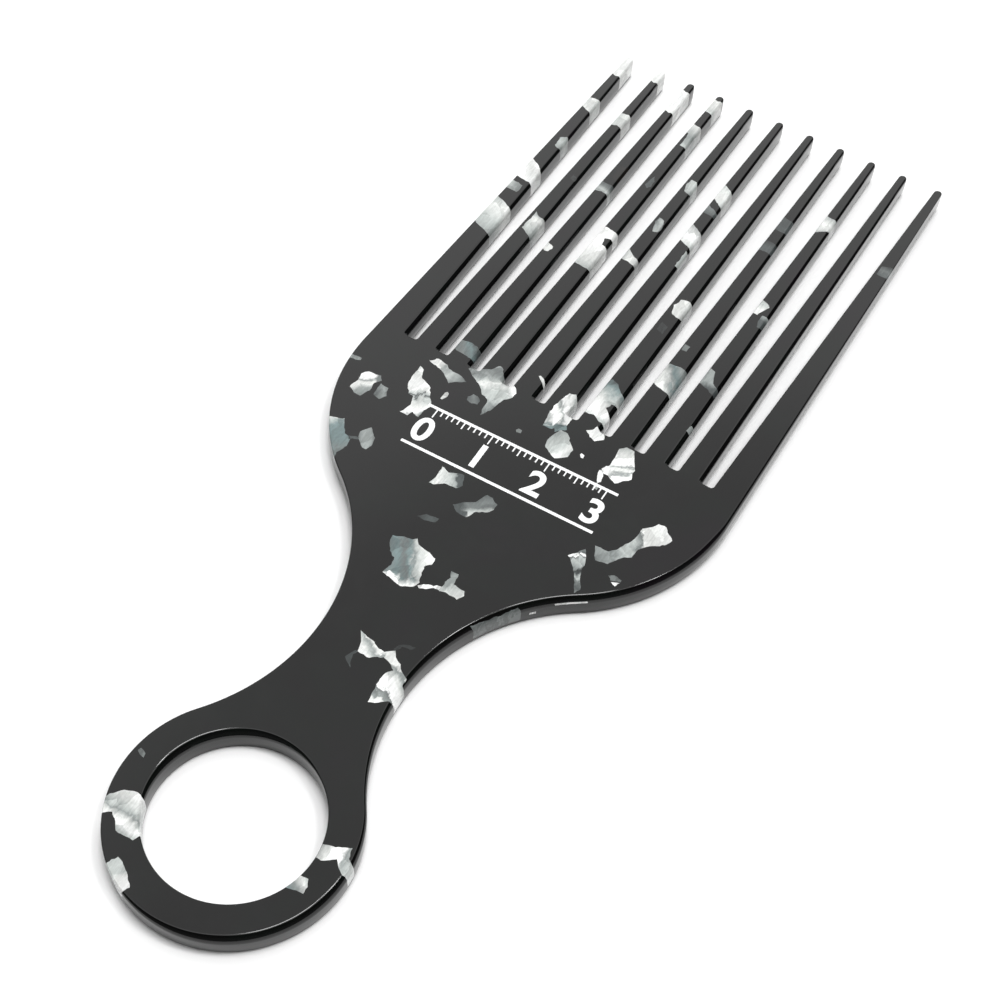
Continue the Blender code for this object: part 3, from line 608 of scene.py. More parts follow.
FLAKE_TABLES = (
    RING_CHIP_SHARES, NECK_CHIP_SHARES, BODY_CHIP_SHARES, ROOT_CHIP_SHARES, TOOTH_CHIP_SHARES,
)
FLECK_TABLES = (RING_FLECK_SHARES, NECK_FLECK_SHARES, BODY_FLECK_SHARES, (), TOOTH_FLECK_SHARES)

# Looks of each flake: turn in degrees of the direction along which it changes, its
# tones as shares of the way, and folds: a turn, the share of the way where the
# fold starts, the share over which it fades in, and the tone beyond it. The lightest
# stops and folds are partly the pearl's own colour and partly painted highlight
FLAKE_LOOK_SHARES = {
    "ring_left": (90, (
        (0.0, "pale"), (0.2, "bright"), (0.33, "white"), (0.45, "silver"), (0.55, "pale"),
        (0.8, "white"), (0.92, "bright"),
    ), ((33, 0.82, 0.1, "pale"),)),
    "ring_lower_left": (-35, (
        (0.0, "pale"), (0.4, "pale"), (0.52, "white"), (0.8, "bright"), (1.0, "bright"),
    ), ()),
    "ring_right": (0, (
        (0.0, "grey"), (0.25, "white"), (0.5, "bright"), (0.6, "silver"), (0.75, "pale"),
        (1.0, "bright"),
    ), ()),
    "ring_bore_right": (60, ((0.0, "teal"), (0.4, "silver"), (0.7, "white"), (1.0, "pale")), ()),
    "neck": (-109, (
        (0.0, "silver"), (0.08, "white"), (0.2, "white"), (0.25, "silver"), (0.33, "pale"),
        (0.42, "white"), (0.5, "bright"), (0.64, "bright"), (0.67, "grey"), (0.79, "silver"),
        (0.82, "white"), (1.0, "bright"),
    ), ((33, 0.88, 0.06, "silver"),)),
    "body_left_high": (-58, (
        (0.0, "bright"), (0.27, "bright"), (0.33, "silver"), (0.42, "white"), (0.56, "white"),
        (0.72, "silver"), (1.0, "grey"),
    ), ((33, 0.8, 0.1, "grey"),)),
    "body_left_small": (33, ((0.0, "dark"), (0.35, "grey"), (0.75, "silver"), (1.0, "grey")), ()),
    "body_left_low": (-58, (
        (0.0, "white"), (0.1, "pale"), (0.22, "teal"), (0.5, "teal"), (0.8, "grey"),
        (1.0, "silver"),
    ), ()),
    "body_left_wedge": (33, ((0.0, "grey"), (0.3, "silver"), (0.8, "silver"), (1.0, "grey")), ()),
    "body_left_large": (-58, (
        (0.0, "pale"), (0.15, "white"), (0.3, "bright"), (0.48, "white"), (0.57, "pale"),
        (0.605, "dark"), (0.65, "pale"), (0.8, "white"), (0.9, "bright"), (1.0, "silver"),
    ), ()),
    "body_left_top": (-19, (
        (0.0, "bright"), (0.28, "white"), (0.4, "silver"), (0.6, "pale"), (0.8, "silver"),
        (1.0, "dark"),
    ), ()),
    "body_spot": (33, ((0.0, "dark"), (0.5, "grey"), (1.0, "dark")), ()),
    "body_centre_top": (-19, (
        (0.0, "silver"), (0.3, "pale"), (0.55, "pale"), (0.85, "white"), (1.0, "pale"),
    ), ((-80, 0.8, 0.12, "white"),)),
    "body_centre_star": (0, ((0.0, "white"), (0.4, "bright"), (1.0, "white")), ()),
    "body_right_top": (-58, (
        (0.0, "pale"), (0.2, "white"), (0.48, "bright"), (0.55, "silver"), (0.6, "white"),
        (0.68, "white"), (0.74, "silver"), (0.8, "bright"), (1.0, "bright"),
    ), ((213, 0.7, 0.1, "bright"),)),
    "body_low_star": (33, (
        (0.0, "pale"), (0.2, "white"), (0.6, "pale"), (0.74, "silver"), (0.78, "dark"),
        (1.0, "dark"),
    ), ()),
    "body_low_leaf": (-58, (
        (0.0, "dark"), (0.35, "grey"), (0.55, "grey"), (0.72, "pale"), (1.0, "white"),
    ), ((213, 0.62, 0.15, "dark"),)),
    "body_low_sliver": (33, ((0.0, "smoke"), (0.5, "dark"), (1.0, "dark")), ()),
    "body_low_large": (33, (
        (0.0, "grey"), (0.3, "teal"), (0.45, "grey"), (0.54, "teal"), (0.6, "silver"),
        (0.66, "pale"), (0.8, "white"), (1.0, "bright"),
    ), ((-58, 0.8, 0.14, "white"), (-97, 0.93, 0.05, "bright"))),
    "body_low_fin": (-58, (
        (0.0, "grey"), (0.3, "silver"), (0.5, "silver"), (0.56, "pale"), (1.0, "white"),
    ), ()),
    "body_right_wedge": (-70, (
        (0.0, "grey"), (0.1, "dark"), (0.12, "white"), (0.17, "bright"), (0.19, "dark"),
        (0.23, "pale"), (0.36, "silver"), (0.5, "smoke"), (0.58, "dark"), (0.66, "pale"),
        (0.74, "grey"), (0.86, "dark"), (1.0, "grey"),
    ), ()),
    "body_right_large": (33, (
        (0.0, "grey"), (0.15, "silver"), (0.22, "grey"), (0.3, "silver"), (0.42, "pale"),
        (0.52, "silver"), (0.56, "grey"), (0.6, "white"), (0.8, "white"), (1.0, "bright"),
    ), ()),
    "root_left": (-58, (
        (0.0, "silver"), (0.12, "grey"), (0.22, "silver"), (0.34, "pale"), (0.4, "white"),
        (0.48, "pale"), (0.66, "pale"), (0.8, "silver"), (1.0, "dark"),
    ), ((33, 0.8, 0.1, "bright"),)),
    "root_centre": (33, (
        (0.0, "bright"), (0.2, "pale"), (0.3, "bright"), (0.42, "white"), (0.5, "silver"),
        (0.58, "bright"), (0.75, "white"), (0.85, "pale"), (1.0, "white"),
    ), ((-58, 0.85, 0.08, "teal"),)),
    "tooth_01_tip": (90, ((0.0, "white"), (1.0, "bright")), ()),
    "tooth_01_high": (0, ((0.0, "pale"), (0.5, "white"), (1.0, "pale")), ()),
    "tooth_01_upper_mid": (90, ((0.0, "silver"), (0.5, "pale"), (1.0, "silver")), ()),
    "tooth_01_mid": (60, ((0.0, "bright"), (0.4, "bright"), (0.7, "white"), (1.0, "bright")), ()),
    "tooth_01_lower_mid": (0, ((0.0, "pale"), (1.0, "grey")), ()),
    "tooth_01_low": (90, ((0.0, "silver"), (0.4, "pale"), (0.7, "white"), (1.0, "pale")), ()),
    "tooth_02_tip": (90, ((0.0, "white"), (1.0, "bright")), ()),
    "tooth_02_high": (0, ((0.0, "pale"), (1.0, "white")), ()),
    "tooth_02_mid": (90, ((0.0, "grey"), (0.35, "pale"), (0.7, "white"), (1.0, "silver")), ()),
    "tooth_03_tip": (90, ((0.0, "white"), (0.5, "bright"), (1.0, "white")), ()),
    "tooth_03_mid": (90, ((0.0, "silver"), (0.3, "pale"), (0.6, "grey"), (1.0, "dark")), ()),
    "tooth_03_root": (33, (
        (0.0, "dark"), (0.35, "grey"), (0.6, "teal"), (0.75, "dark"), (1.0, "dark"),
    ), ()),
    "tooth_04_tip": (90, ((0.0, "pale"), (0.4, "white"), (1.0, "white")), ()),
    "tooth_04_high": (90, ((0.0, "pale"), (0.5, "silver"), (1.0, "white")), ()),
    "tooth_04_mid": (90, ((0.0, "pale"), (0.25, "white"), (0.6, "bright"), (1.0, "white")), ()),
    "tooth_05_high": (90, ((0.0, "silver"), (0.4, "pale"), (1.0, "pale")), ()),
    "tooth_05_mid": (0, ((0.0, "dark"), (0.3, "silver"), (0.7, "pale"), (1.0, "dark")), ()),
    "tooth_05_low": (0, ((0.0, "silver"), (0.5, "white"), (1.0, "dark")), ()),
    "tooth_06_high": (90, ((0.0, "pale"), (0.4, "white"), (1.0, "pale")), ()),
    "tooth_06_upper_mid": (90, ((0.0, "dark"), (1.0, "grey")), ()),
    "tooth_06_mid": (90, ((0.0, "pale"), (0.5, "bright"), (1.0, "silver")), ()),
    "tooth_07_mid": (0, ((0.0, "white"), (0.5, "white"), (1.0, "silver")), ()),
    "tooth_07_root": (-97, (
        (0.0, "dark"), (0.2, "teal"), (0.4, "pale"), (0.52, "white"), (0.8, "bright"),
        (1.0, "pale"),
    ), ()),
    "tooth_08_high": (90, ((0.0, "dark"), (1.0, "dark")), ()),
    "tooth_08_upper_mid": (90, ((0.0, "dark"), (0.5, "dark"), (1.0, "smoke")), ()),
    "tooth_08_low": (33, (
        (0.0, "white"), (0.35, "white"), (0.5, "silver"), (0.6, "teal"), (0.8, "silver"),
        (1.0, "grey"),
    ), ()),
    "tooth_09_high": (90, ((0.0, "silver"), (0.5, "white"), (1.0, "silver")), ()),
    "tooth_09_upper_mid": (90, ((0.0, "white"), (0.4, "white"), (0.7, "pale"), (1.0, "pale")), ()),
    "tooth_09_mid": (90, ((0.0, "dark"), (0.6, "dark"), (1.0, "silver")), ()),
    "tooth_09_low": (-60, ((0.0, "silver"), (0.45, "silver"), (0.65, "dark"), (1.0, "smoke")), ()),
    "tooth_11_high": (90, ((0.0, "dark"), (0.5, "grey"), (1.0, "smoke")), ()),
}


def side_sections():
    # Up a side wall, which is eased and bevelled to a fine arris at both faces: inset,
    # share of the thickness, and the rise or drop beside it that goes with the edge
    foot = math.radians(BEVEL_FOOT_DEGREES)
    top = math.radians(BEVEL_TOP_DEGREES)
    upright = math.pi / 2
    bevel = BEVEL_RADIUS - EASE_RADIUS
    curves = (
        (EASE_RADIUS, 0.0, foot, 0.0, 0.0, EASE_STEPS),
        (BEVEL_RADIUS, foot, top, bevel * math.cos(foot), bevel * math.sin(foot), BEVEL_STEPS),
    )
    upper = [(0.0, 0.0)]
    for radius, start, end, across, down, steps in curves:
        for step in range(1, steps + 1):
            turn = start + (end - start) * step / steps
            inset = EASE_RADIUS + across - radius * math.cos(turn)
            upper.append((inset, radius * math.sin(turn) - down))
    centre_inset = upper[-1][0] + ARRIS_RADIUS * math.cos(top)
    centre_rise = upper[-1][1] - ARRIS_RADIUS * math.sin(top)
    for step in range(1, ARRIS_STEPS + 1):
        turn = top + (upright - top) * step / ARRIS_STEPS
        inset = centre_inset - ARRIS_RADIUS * math.cos(turn)
        upper.append((inset, centre_rise + ARRIS_RADIUS * math.sin(turn)))
    rise = upper[-1][1]
    sections = [(inset, 0.0, rise - height) for inset, height in reversed(upper)]
    for step in range(1, WALL_STEPS):
        share = step / WALL_STEPS
        sections.append((0.0, share, rise * (1 - 2 * share)))
    return sections + [(inset, 1.0, height - rise) for inset, height in upper]


def ring_radius():
    return BORE_DIAMETER / 2 + RING_WALL


def ring_centre():
    return (0.0, ring_radius())


def neck_arc_radius():
    # Stands upright at the waist and runs tangent into the ring
    half = WAIST_WIDTH / 2
    radius = ring_radius()
    rise = WAIST_HEIGHT - radius
    return (half ** 2 + rise ** 2 - radius ** 2) / (2 * (radius - half))


def shoulder_centre():
    # Runs tangent out of the flare above the waist to the widest place of the body
    across = BODY_WIDTH / 2 - SHOULDER_RADIUS
    gap = WAIST_WIDTH / 2 + FLARE_RADIUS - across
    reach = FLARE_RADIUS + SHOULDER_RADIUS
    return (across, WAIST_HEIGHT + math.sqrt(reach ** 2 - gap ** 2))


def side_reach(height):
    # Half the width of the body at a height above the waist
    across, middle = shoulder_centre()
    rise = middle - WAIST_HEIGHT
    if height > middle:
        return BODY_WIDTH / 2
    if height > middle - rise * SHOULDER_RADIUS / (SHOULDER_RADIUS + FLARE_RADIUS):
        return across + math.sqrt(SHOULDER_RADIUS ** 2 - (height - middle) ** 2)
    flare = WAIST_WIDTH / 2 + FLARE_RADIUS
    return flare - math.sqrt(FLARE_RADIUS ** 2 - (height - WAIST_HEIGHT) ** 2)


def root_height():
    return WAIST_HEIGHT + ROOT_RISE


def tip_height():
    return root_height() + TOOTH_LENGTH


def tooth_pitch():
    return (BODY_WIDTH - 2 * OUTER_TOOTH_REACH) / (TOOTH_COUNT - 1)


def tooth_centre(number):
    return (number - (TOOTH_COUNT + 1) / 2) * tooth_pitch()


def tooth_sides(number, height):
    # Left and right side of one tooth at a height, both straight tapers
    centre = tooth_centre(number)
    root_half = (tooth_pitch() - SLOT_ROOT_WIDTH) / 2
    tip_centre = centre
    left_root = centre - root_half
    right_root = centre + root_half
    if number == 1:
        tip_centre = OUTER_TIP_INSET - BODY_WIDTH / 2
        left_root = -BODY_WIDTH / 2
    if number == TOOTH_COUNT:
        tip_centre = BODY_WIDTH / 2 - OUTER_TIP_INSET
        right_root = BODY_WIDTH / 2
    left_tip = tip_centre - TIP_WIDTH / 2
    right_tip = tip_centre + TIP_WIDTH / 2
    share = (height - root_height()) / TOOTH_LENGTH
    left = left_root + (left_tip - left_root) * share
    right = right_root + (right_tip - right_root) * share
    return left, right


def arc(centre, radius, start, end, steps):
    points = []
    for step in range(steps + 1):
        angle = start + (end - start) * step / steps
        x = centre[0] + radius * math.cos(angle)
        y = centre[1] + radius * math.sin(angle)
        points.append((x, y))
    return points


def arc_steps(start, end):
    return max(2, math.ceil(abs(end - start) / math.radians(ARC_STEP_DEGREES)))


def right_side():
    # From the ring in to the waist, out to the shoulder and up to the teeth
    neck_centre = (WAIST_WIDTH / 2 + neck_arc_radius(), WAIST_HEIGHT)
    flare_centre = (WAIST_WIDTH / 2 + FLARE_RADIUS, WAIST_HEIGHT)
    shoulder = shoulder_centre()
    start = math.pi + math.atan2(WAIST_HEIGHT - ring_radius(), neck_centre[0])
    turn = math.atan2(shoulder[1] - WAIST_HEIGHT, flare_centre[0] - shoulder[0])
    lean = OUTER_TIP_INSET - TIP_WIDTH / 2
    side_angle = math.atan2(lean, tip_height() - shoulder[1])
    steps = arc_steps(start, math.pi)
    neck = arc(neck_centre, neck_arc_radius(), start, math.pi, steps)
    steps = arc_steps(0.0, turn)
    flare = arc(flare_centre, FLARE_RADIUS, math.pi, math.pi - turn, steps)
    steps = arc_steps(-turn, side_angle)
    upper = arc(shoulder, SHOULDER_RADIUS, -turn, side_angle, steps)
    return neck[1:] + flare[1:] + upper[1:]


def tooth_end(number):
    height = tip_height() - TIP_WIDTH / 2
    left, right = tooth_sides(number, tip_height())
    centre = ((left + right) / 2, height)
    return arc(centre, TIP_WIDTH / 2, 0.0, math.pi, END_STEPS)


def slot_end(number):
    # Flat end of the slot on the left of a tooth, with small round corners, right to left
    right = tooth_sides(number, root_height())[0]
    left = tooth_sides(number - 1, root_height())[1]
    radius = SLOT_CORNER_RADIUS
    height = root_height() + radius
    steps = END_STEPS // 2
    turn = math.pi / 2
    near = arc((right - radius, height), radius, 0.0, -turn, steps)
    far = arc((left + radius, height), radius, -turn, -2 * turn, steps)
    return near + far


def outer_outline():
    side = right_side()
    rise = WAIST_HEIGHT - ring_radius()
    angle = math.atan2(rise, WAIST_WIDTH / 2 + neck_arc_radius())
    start = math.pi - angle
    end = 2 * math.pi + angle
    steps = 2 * arc_steps(start, (start + end) / 2)
    points = arc(ring_centre(), ring_radius(), start, end, steps)
    points += side
    for number in range(TOOTH_COUNT, 0, -1):
        points += tooth_end(number)
        if number > 1:
            points += slot_end(number)
    points += [(-x, y) for x, y in reversed(side)]
    return points


def bore_outline():
    steps = arc_steps(0.0, 2 * math.pi)
    return arc(ring_centre(), BORE_DIAMETER / 2, 2 * math.pi, 0.0, steps)[:-1]


def moved_in(loop, amounts):
    # Moves the points of a loop to its left by their amounts
    result = []
    count = len(loop)
    for index, point in enumerate(loop):
        here = Vector(point)
        before = (here - Vector(loop[index - 1])).normalized()
        after = (Vector(loop[(index + 1) % count]) - here).normalized()
        first = Vector((-before.y, before.x))
        second = Vector((-after.y, after.x))
        middle = (first + second).normalized()
        stretch = min(MITRE_LIMIT, 1.0 / max(middle.dot(first), 1.0 / MITRE_LIMIT))
        moved = here + middle * amounts[index] * stretch
        result.append((moved.x, moved.y))
    return result


def turned_left(loop):
    area = 0.0
    for index, point in enumerate(loop):
        before = loop[index - 1]
        area += before[0] * point[1] - point[0] * before[1]
    if area < 0:
        return list(reversed(loop))
    return list(loop)


def stacked_mesh(name, layers):
    # Closed body through layers, each one a list of loops
    # Plan heights count from the ring's foot, and the origin is at mid-length
    middle = tip_height() / 2
    mesh_data = bmesh.new()
    rings = []
    for loops in layers:
        ring = []
        for loop in loops:
            ring.append([mesh_data.verts.new((x, y - middle, z)) for x, y, z in loop])
        rings.append(ring)
    for lower, upper in zip(rings, rings[1:]):
        for low_loop, high_loop in zip(lower, upper):
            for index in range(len(low_loop)):
                low = (low_loop[index - 1], low_loop[index])
                mesh_data.faces.new((*low, high_loop[index], high_loop[index - 1]))
    for ring in (rings[0], rings[-1]):
        if len(ring) == 1:
            mesh_data.faces.new(ring[0])
            continue
        flat = [corner for loop in ring for corner in loop]
        outlines = [[corner.co.copy() for corner in loop] for loop in ring]
        for triangle in tessellate_polygon(outlines):
            mesh_data.faces.new([flat[index] for index in triangle])
    bmesh.ops.recalc_face_normals(mesh_data, faces=mesh_data.faces)
    mesh = bpy.data.meshes.new(name)
    mesh_data.to_mesh(mesh)
    mesh_data.free()
    return mesh


def share_between(value, start, end):
    return min(1.0, max(0.0, (value - start) / (end - start)))


def round_shares(loop):
    # How far each point of a loop faces the side that was polished rounder
    turn = math.radians(ROUND_SIDE_DEGREES)
    side = Vector((math.cos(turn), math.sin(turn)))
    shares = []
    for index in range(len(loop)):
        along = Vector(loop[(index + 1) % len(loop)]) - Vector(loop[index - 1])
        outward = Vector((along.y, -along.x)).normalized()
        facing = share_between(outward.dot(side), ROUND_START_SHARE, ROUND_END_SHARE)
        shares.append(FAR_EDGE_SHARE + (1 - FAR_EDGE_SHARE) * facing)
    return shares


def edged(loop, section):
    # One line round the sheet, whose edges slim down and walls hollow out towards the teeth
    inset, share, rise = section
    amounts = []
    heights = []
    for (x, y), round_share in zip(loop, round_shares(loop)):
        slim = share_between(y, TOOTH_EDGE_START, root_height())
        size = 1 + (TOOTH_EDGE_SHARE - 1) * slim
        top_bow = WALL_TOP_BOW + (TOOTH_TOP_BOW - WALL_TOP_BOW) * slim
        foot_bow = WALL_FOOT_BOW + (TOOTH_FOOT_BOW - WALL_FOOT_BOW) * slim
        if abs(x) > sum(tooth_sides(TOOTH_COUNT, y)) / 2:
            outer = share_between(y, OUTER_EDGE_START, OUTER_EDGE_END)
            size += (OUTER_EDGE_SHARE - size) * outer
            top_bow *= 1 - outer
        tip_share = 1 + (TIP_EDGE_SHARE - 1) * share_between(y, root_height(), tip_height())
        size *= round_share * tip_share * (LOWER_EDGE_SHARE + (1 - LOWER_EDGE_SHARE) * share)
        height = share * SHEET_THICKNESS + rise * size
        level = height / SHEET_THICKNESS
        hollow = top_bow * round_share * share_between(level, WIDEST_SHARE, 1) ** 2
        hollow += foot_bow * share_between(level, WIDEST_SHARE, 0) ** 2
        heights.append(height)
        amounts.append(inset * size + hollow * tip_share)
    moved = moved_in(loop, amounts)
    return [(x, y, height) for (x, y), height in zip(moved, heights)]


def sheet_mesh(name):
    # The whole pick as one sheet with rounded sides
    outlines = [outer_outline(), bore_outline()]
    layers = [[edged(loop, section) for loop in outlines] for section in side_sections()]
    return stacked_mesh(name, layers)


def prism_mesh(name, loop, low, high):
    layers = [[[(x, y, height) for x, y in loop]] for height in (low, high)]
    return stacked_mesh(name, layers)


def ring_place(turn, wall):
    angle = turn * 2 * math.pi
    radius = BORE_DIAMETER / 2 + wall * RING_WALL
    centre = ring_centre()
    return (centre[0] + radius * math.cos(angle), centre[1] + radius * math.sin(angle))


def neck_place(across, up):
    return (across * WAIST_WIDTH / 2, WAIST_HEIGHT + up * WAIST_WIDTH / 2)


def body_place(across, down):
    height = root_height() - down * ROOT_RISE
    return (across * side_reach(height), height)


def root_place(number, across, up):
    return (tooth_centre(number) + across * tooth_pitch(), root_height() + up * tooth_pitch())


def tooth_place(number, across, along):
    height = root_height() + along * TOOTH_LENGTH
    left, right = tooth_sides(number, height)
    return ((left + right) / 2 + across * (right - left), height)


def flake_outlines(tables):
    # Name, depth, tone and plan outline of every flake in five tables
    chips = []
    for place_of, rows in zip((ring_place, neck_place, body_place, root_place, tooth_place), tables):
        for *number, name, depth, tone, points in rows:
            outline = [place_of(*number, *point) for point in points]
            chips.append((name, depth, tone, outline))
    return chips


def flake_reach(depth):
    # Lowest and highest height of a flake, or of a mark that shows in the side wall only
    over = SHEET_THICKNESS + CUT_OVERRUN
    reaches = {
        "through": (-CUT_OVERRUN, over),
        "deep": (SHEET_THICKNESS - DEEP_CHIP_DEPTH, over),
        "shallow": (SHEET_THICKNESS - SHALLOW_CHIP_DEPTH, over),
        "line": (LINE_MARK_FOOT, LINE_MARK_TOP),
        "dot": (DOT_MARK_FOOT, DOT_MARK_TOP),
    }
    return reaches[depth]


def torn(loop):
    # Breaks an outline into short torn steps, the same way in each run
    points = []
    for index, end in enumerate(loop):
        start = Vector(loop[index - 1])
        way = Vector(end) - start
        count = max(1, round(way.length / TEAR_STEP))
        for step in range(count):
            place = start + way * step / count
            swing = noise.noise_vector((place / TEAR_WAVE).to_3d()) * TEAR_REACH
            points.append((place.x + swing.x, place.y + swing.y))
    return points


def add_object(name, mesh):
    item = bpy.data.objects.new(name, mesh)
    bpy.context.scene.collection.objects.link(item)
    return item


def cut_mesh(name, mesh, operation, cutters):
    # Cuts a mesh with other meshes and gives the shaded result
    item = add_object(name, mesh)
    tools = bpy.data.collections.new(name + "_cutters")
    for number, cutter in enumerate(cutters):
        tool = bpy.data.objects.new(name + "_cutter_" + str(number), cutter)
        tools.objects.link(tool)
    cut = item.modifiers.new("cut", "BOOLEAN")
    cut.operation = operation
    cut.solver = "EXACT"
    cut.operand_type = "COLLECTION"
    cut.collection = tools
    bpy.context.scene.collection.children.link(tools)
    graph = bpy.context.evaluated_depsgraph_get()
    result = bpy.data.meshes.new_from_object(item.evaluated_get(graph))
    item.modifiers.clear()
    for tool in list(tools.objects):
        bpy.data.objects.remove(tool, do_unlink=True)
    bpy.data.collections.remove(tools)
    item.data = result
    shade_round(item)
    return item


def shade_round(item):
    # Smooth shading in which the flat faces stay exactly flat up to their edges
    mesh = item.data
    sides = {}
    for face in mesh.polygons:
        face.use_smooth = True
        if abs(face.normal.z) > FLAT_FACE_SHARE:
            for corner in face.vertices:
                sides[corner] = math.copysign(1.0, face.normal.z)
    mesh.set_sharp_from_angle(angle=math.radians(SMOOTH_ANGLE_DEGREES))
    normals = [corner.vector.copy() for corner in mesh.corner_normals]
    for face in mesh.polygons:
        for place, corner in zip(face.loop_indices, face.vertices):
            side = sides.get(corner, 0.0)
            if normals[place].z * side > EDGE_FACE_SHARE:
                normals[place] = Vector((0.0, 0.0, side))
    mesh.normals_split_custom_set(normals)


def flake_prism(name, depth, outline):
    return prism_mesh(name, outline, *flake_reach(depth))


def new_group(name, inputs, outputs):
    group = bpy.data.node_groups.new(name, "ShaderNodeTree")
    for label, kind in inputs:
        group.interface.new_socket(label, in_out="INPUT", socket_type=kind)
    for label, kind in outputs:
        group.interface.new_socket(label, in_out="OUTPUT", socket_type=kind)
    entry = group.nodes.new("NodeGroupInput")
    leave = group.nodes.new("NodeGroupOutput")
    return group, entry, leave


def noise_node(tree, vector, settings):
    texture = tree.nodes.new("ShaderNodeTexNoise")
    for label, value in zip(("Scale", "Detail", "Roughness", "Distortion"), settings):
        texture.inputs[label].default_value = value
    tree.links.new(vector, texture.inputs["Vector"])
    return texture


def range_node(tree, value, shares):
    span = tree.nodes.new("ShaderNodeMapRange")
    for label, share in zip(("From Min", "From Max", "To Min", "To Max"), shares):
        span.inputs[label].default_value = share
    tree.links.new(value, span.inputs["Value"])
    return span.outputs["Result"]


def math_node(tree, operation, first, second):
    node = tree.nodes.new("ShaderNodeMath")
    node.operation = operation
    for index, value in enumerate((first, second)):
        if isinstance(value, (int, float)):
            node.inputs[index].default_value = value
        else:
            tree.links.new(value, node.inputs[index])
    return node.outputs[0]


def stretched(tree, vector, stretch):
    scale, turn = stretch
    mapping = tree.nodes.new("ShaderNodeMapping")
    mapping.inputs["Scale"].default_value = scale
    mapping.inputs["Rotation"].default_value = (0.0, 0.0, turn)
    tree.links.new(vector, mapping.inputs["Vector"])
    return mapping.outputs["Vector"]


def polish_group():
    # Fine hairline scratches, handling haze and the slow wave of a polished sheet
    group, entry, leave = new_group(
        "polished_acetate",
        (("Vector", "NodeSocketVector"),),
        (
            ("Roughness", "NodeSocketFloat"),
            ("Height", "NodeSocketFloat"),
            ("Tint", "NodeSocketFloat"),
        ),
    )
    vector = entry.outputs["Vector"]
    hairlines = []
    for stretch in (HAIRLINES_ALONG, HAIRLINES_ACROSS):
        hairline = noise_node(group, stretched(group, vector, stretch), HAIRLINE_NOISE)
        hairlines.append(hairline.outputs["Fac"])
    wave = noise_node(group, vector, WAVE_NOISE)
    haze = noise_node(group, vector, HAZE_NOISE)
    tint = noise_node(group, vector, TINT_NOISE)
    fine = range_node(group, math_node(group, "MAXIMUM", *hairlines), HAIRLINE_SHARES)
    rough = range_node(group, haze.outputs["Fac"], HAZE_ROUGHNESS_SHARES)
    rough = math_node(group, "ADD", rough, math_node(group, "MULTIPLY", fine, HAIRLINE_ROUGHNESS))
    height = math_node(group, "MULTIPLY", fine, HAIRLINE_HEIGHT_SHARE)
    height = math_node(group, "ADD", height, wave.outputs["Fac"])
    group.links.new(rough, leave.inputs["Roughness"])
    group.links.new(height, leave.inputs["Height"])
    group.links.new(tint.outputs["Fac"], leave.inputs["Tint"])
    return group


def pearl_group():
    # Crinkled facets, silky streaks and soft folds of a pearl flake
    group, entry, leave = new_group(
        "pearl_flake",
        (("Vector", "NodeSocketVector"),),
        (
            ("Shift", "NodeSocketFloat"),
            ("Lightness", "NodeSocketFloat"),
            ("Height", "NodeSocketFloat"),
        ),
    )
    vector = entry.outputs["Vector"]
    crinkle = noise_node(group, vector, CRINKLE_NOISE)
    bent = group.nodes.new("ShaderNodeVectorMath")
    bent.operation = "MULTIPLY_ADD"
    bent.inputs[1].default_value = (CRINKLE_REACH, CRINKLE_REACH, CRINKLE_REACH)
    group.links.new(crinkle.outputs["Color"], bent.inputs[0])
    group.links.new(vector, bent.inputs[2])
    facet = group.nodes.new("ShaderNodeTexVoronoi")
    facet.inputs["Scale"].default_value = FACETS_PER_METRE
    group.links.new(stretched(group, bent.outputs["Vector"], FACETS), facet.inputs["Vector"])
    split = group.nodes.new("ShaderNodeSeparateColor")
    group.links.new(facet.outputs["Color"], split.inputs["Color"])
    streak = noise_node(group, stretched(group, vector, STREAKS), STREAK_NOISE)
    fine = noise_node(group, vector, PEARL_GRAIN_NOISE)
    wave = range_node(group, crinkle.outputs["Fac"], CRINKLE_SHIFT_SHARES)
    step = range_node(group, split.outputs["Red"], FACET_SHIFT_SHARES)
    light = range_node(group, split.outputs["Green"], FACET_LIGHT_SHARES)
    silk = range_node(group, streak.outputs["Fac"], STREAK_LIGHT_SHARES)
    grain = range_node(group, fine.outputs["Fac"], GRAIN_LIGHT_SHARES)
    light = math_node(group, "MULTIPLY", light, silk)
    light = math_node(group, "MULTIPLY", light, grain)
    group.links.new(math_node(group, "ADD", wave, step), leave.inputs["Shift"])
    group.links.new(light, leave.inputs["Lightness"])
    group.links.new(streak.outputs["Fac"], leave.inputs["Height"])
    return group


def way_group():
    # Share of the way across a flake along one direction
    group, entry, leave = new_group(
        "way_across",
        (
            ("Vector", "NodeSocketVector"),
            ("Direction", "NodeSocketVector"),
            ("Low", "NodeSocketFloat"),
            ("High", "NodeSocketFloat"),
        ),
        (("Share", "NodeSocketFloat"),),
    )
    dot = group.nodes.new("ShaderNodeVectorMath")
    dot.operation = "DOT_PRODUCT"
    group.links.new(entry.outputs["Vector"], dot.inputs[0])
    group.links.new(entry.outputs["Direction"], dot.inputs[1])
    span = group.nodes.new("ShaderNodeMapRange")
    span.clamp = False
    group.links.new(dot.outputs["Value"], span.inputs["Value"])
    group.links.new(entry.outputs["Low"], span.inputs["From Min"])
    group.links.new(entry.outputs["High"], span.inputs["From Max"])
    group.links.new(span.outputs["Result"], leave.inputs["Share"])
    return group


def use_group(tree, group, vector):
    node = tree.nodes.new("ShaderNodeGroup")
    node.node_tree = group
    tree.links.new(vector, node.inputs["Vector"])
    return node


def mix_shaders(tree, share, first, second, output):
    mix = tree.nodes.new("ShaderNodeMixShader")
    tree.links.new(share, mix.inputs["Fac"])
    tree.links.new(first, mix.inputs[1])
    tree.links.new(second, mix.inputs[2])
    tree.links.new(mix.outputs["Shader"], output.inputs["Surface"])


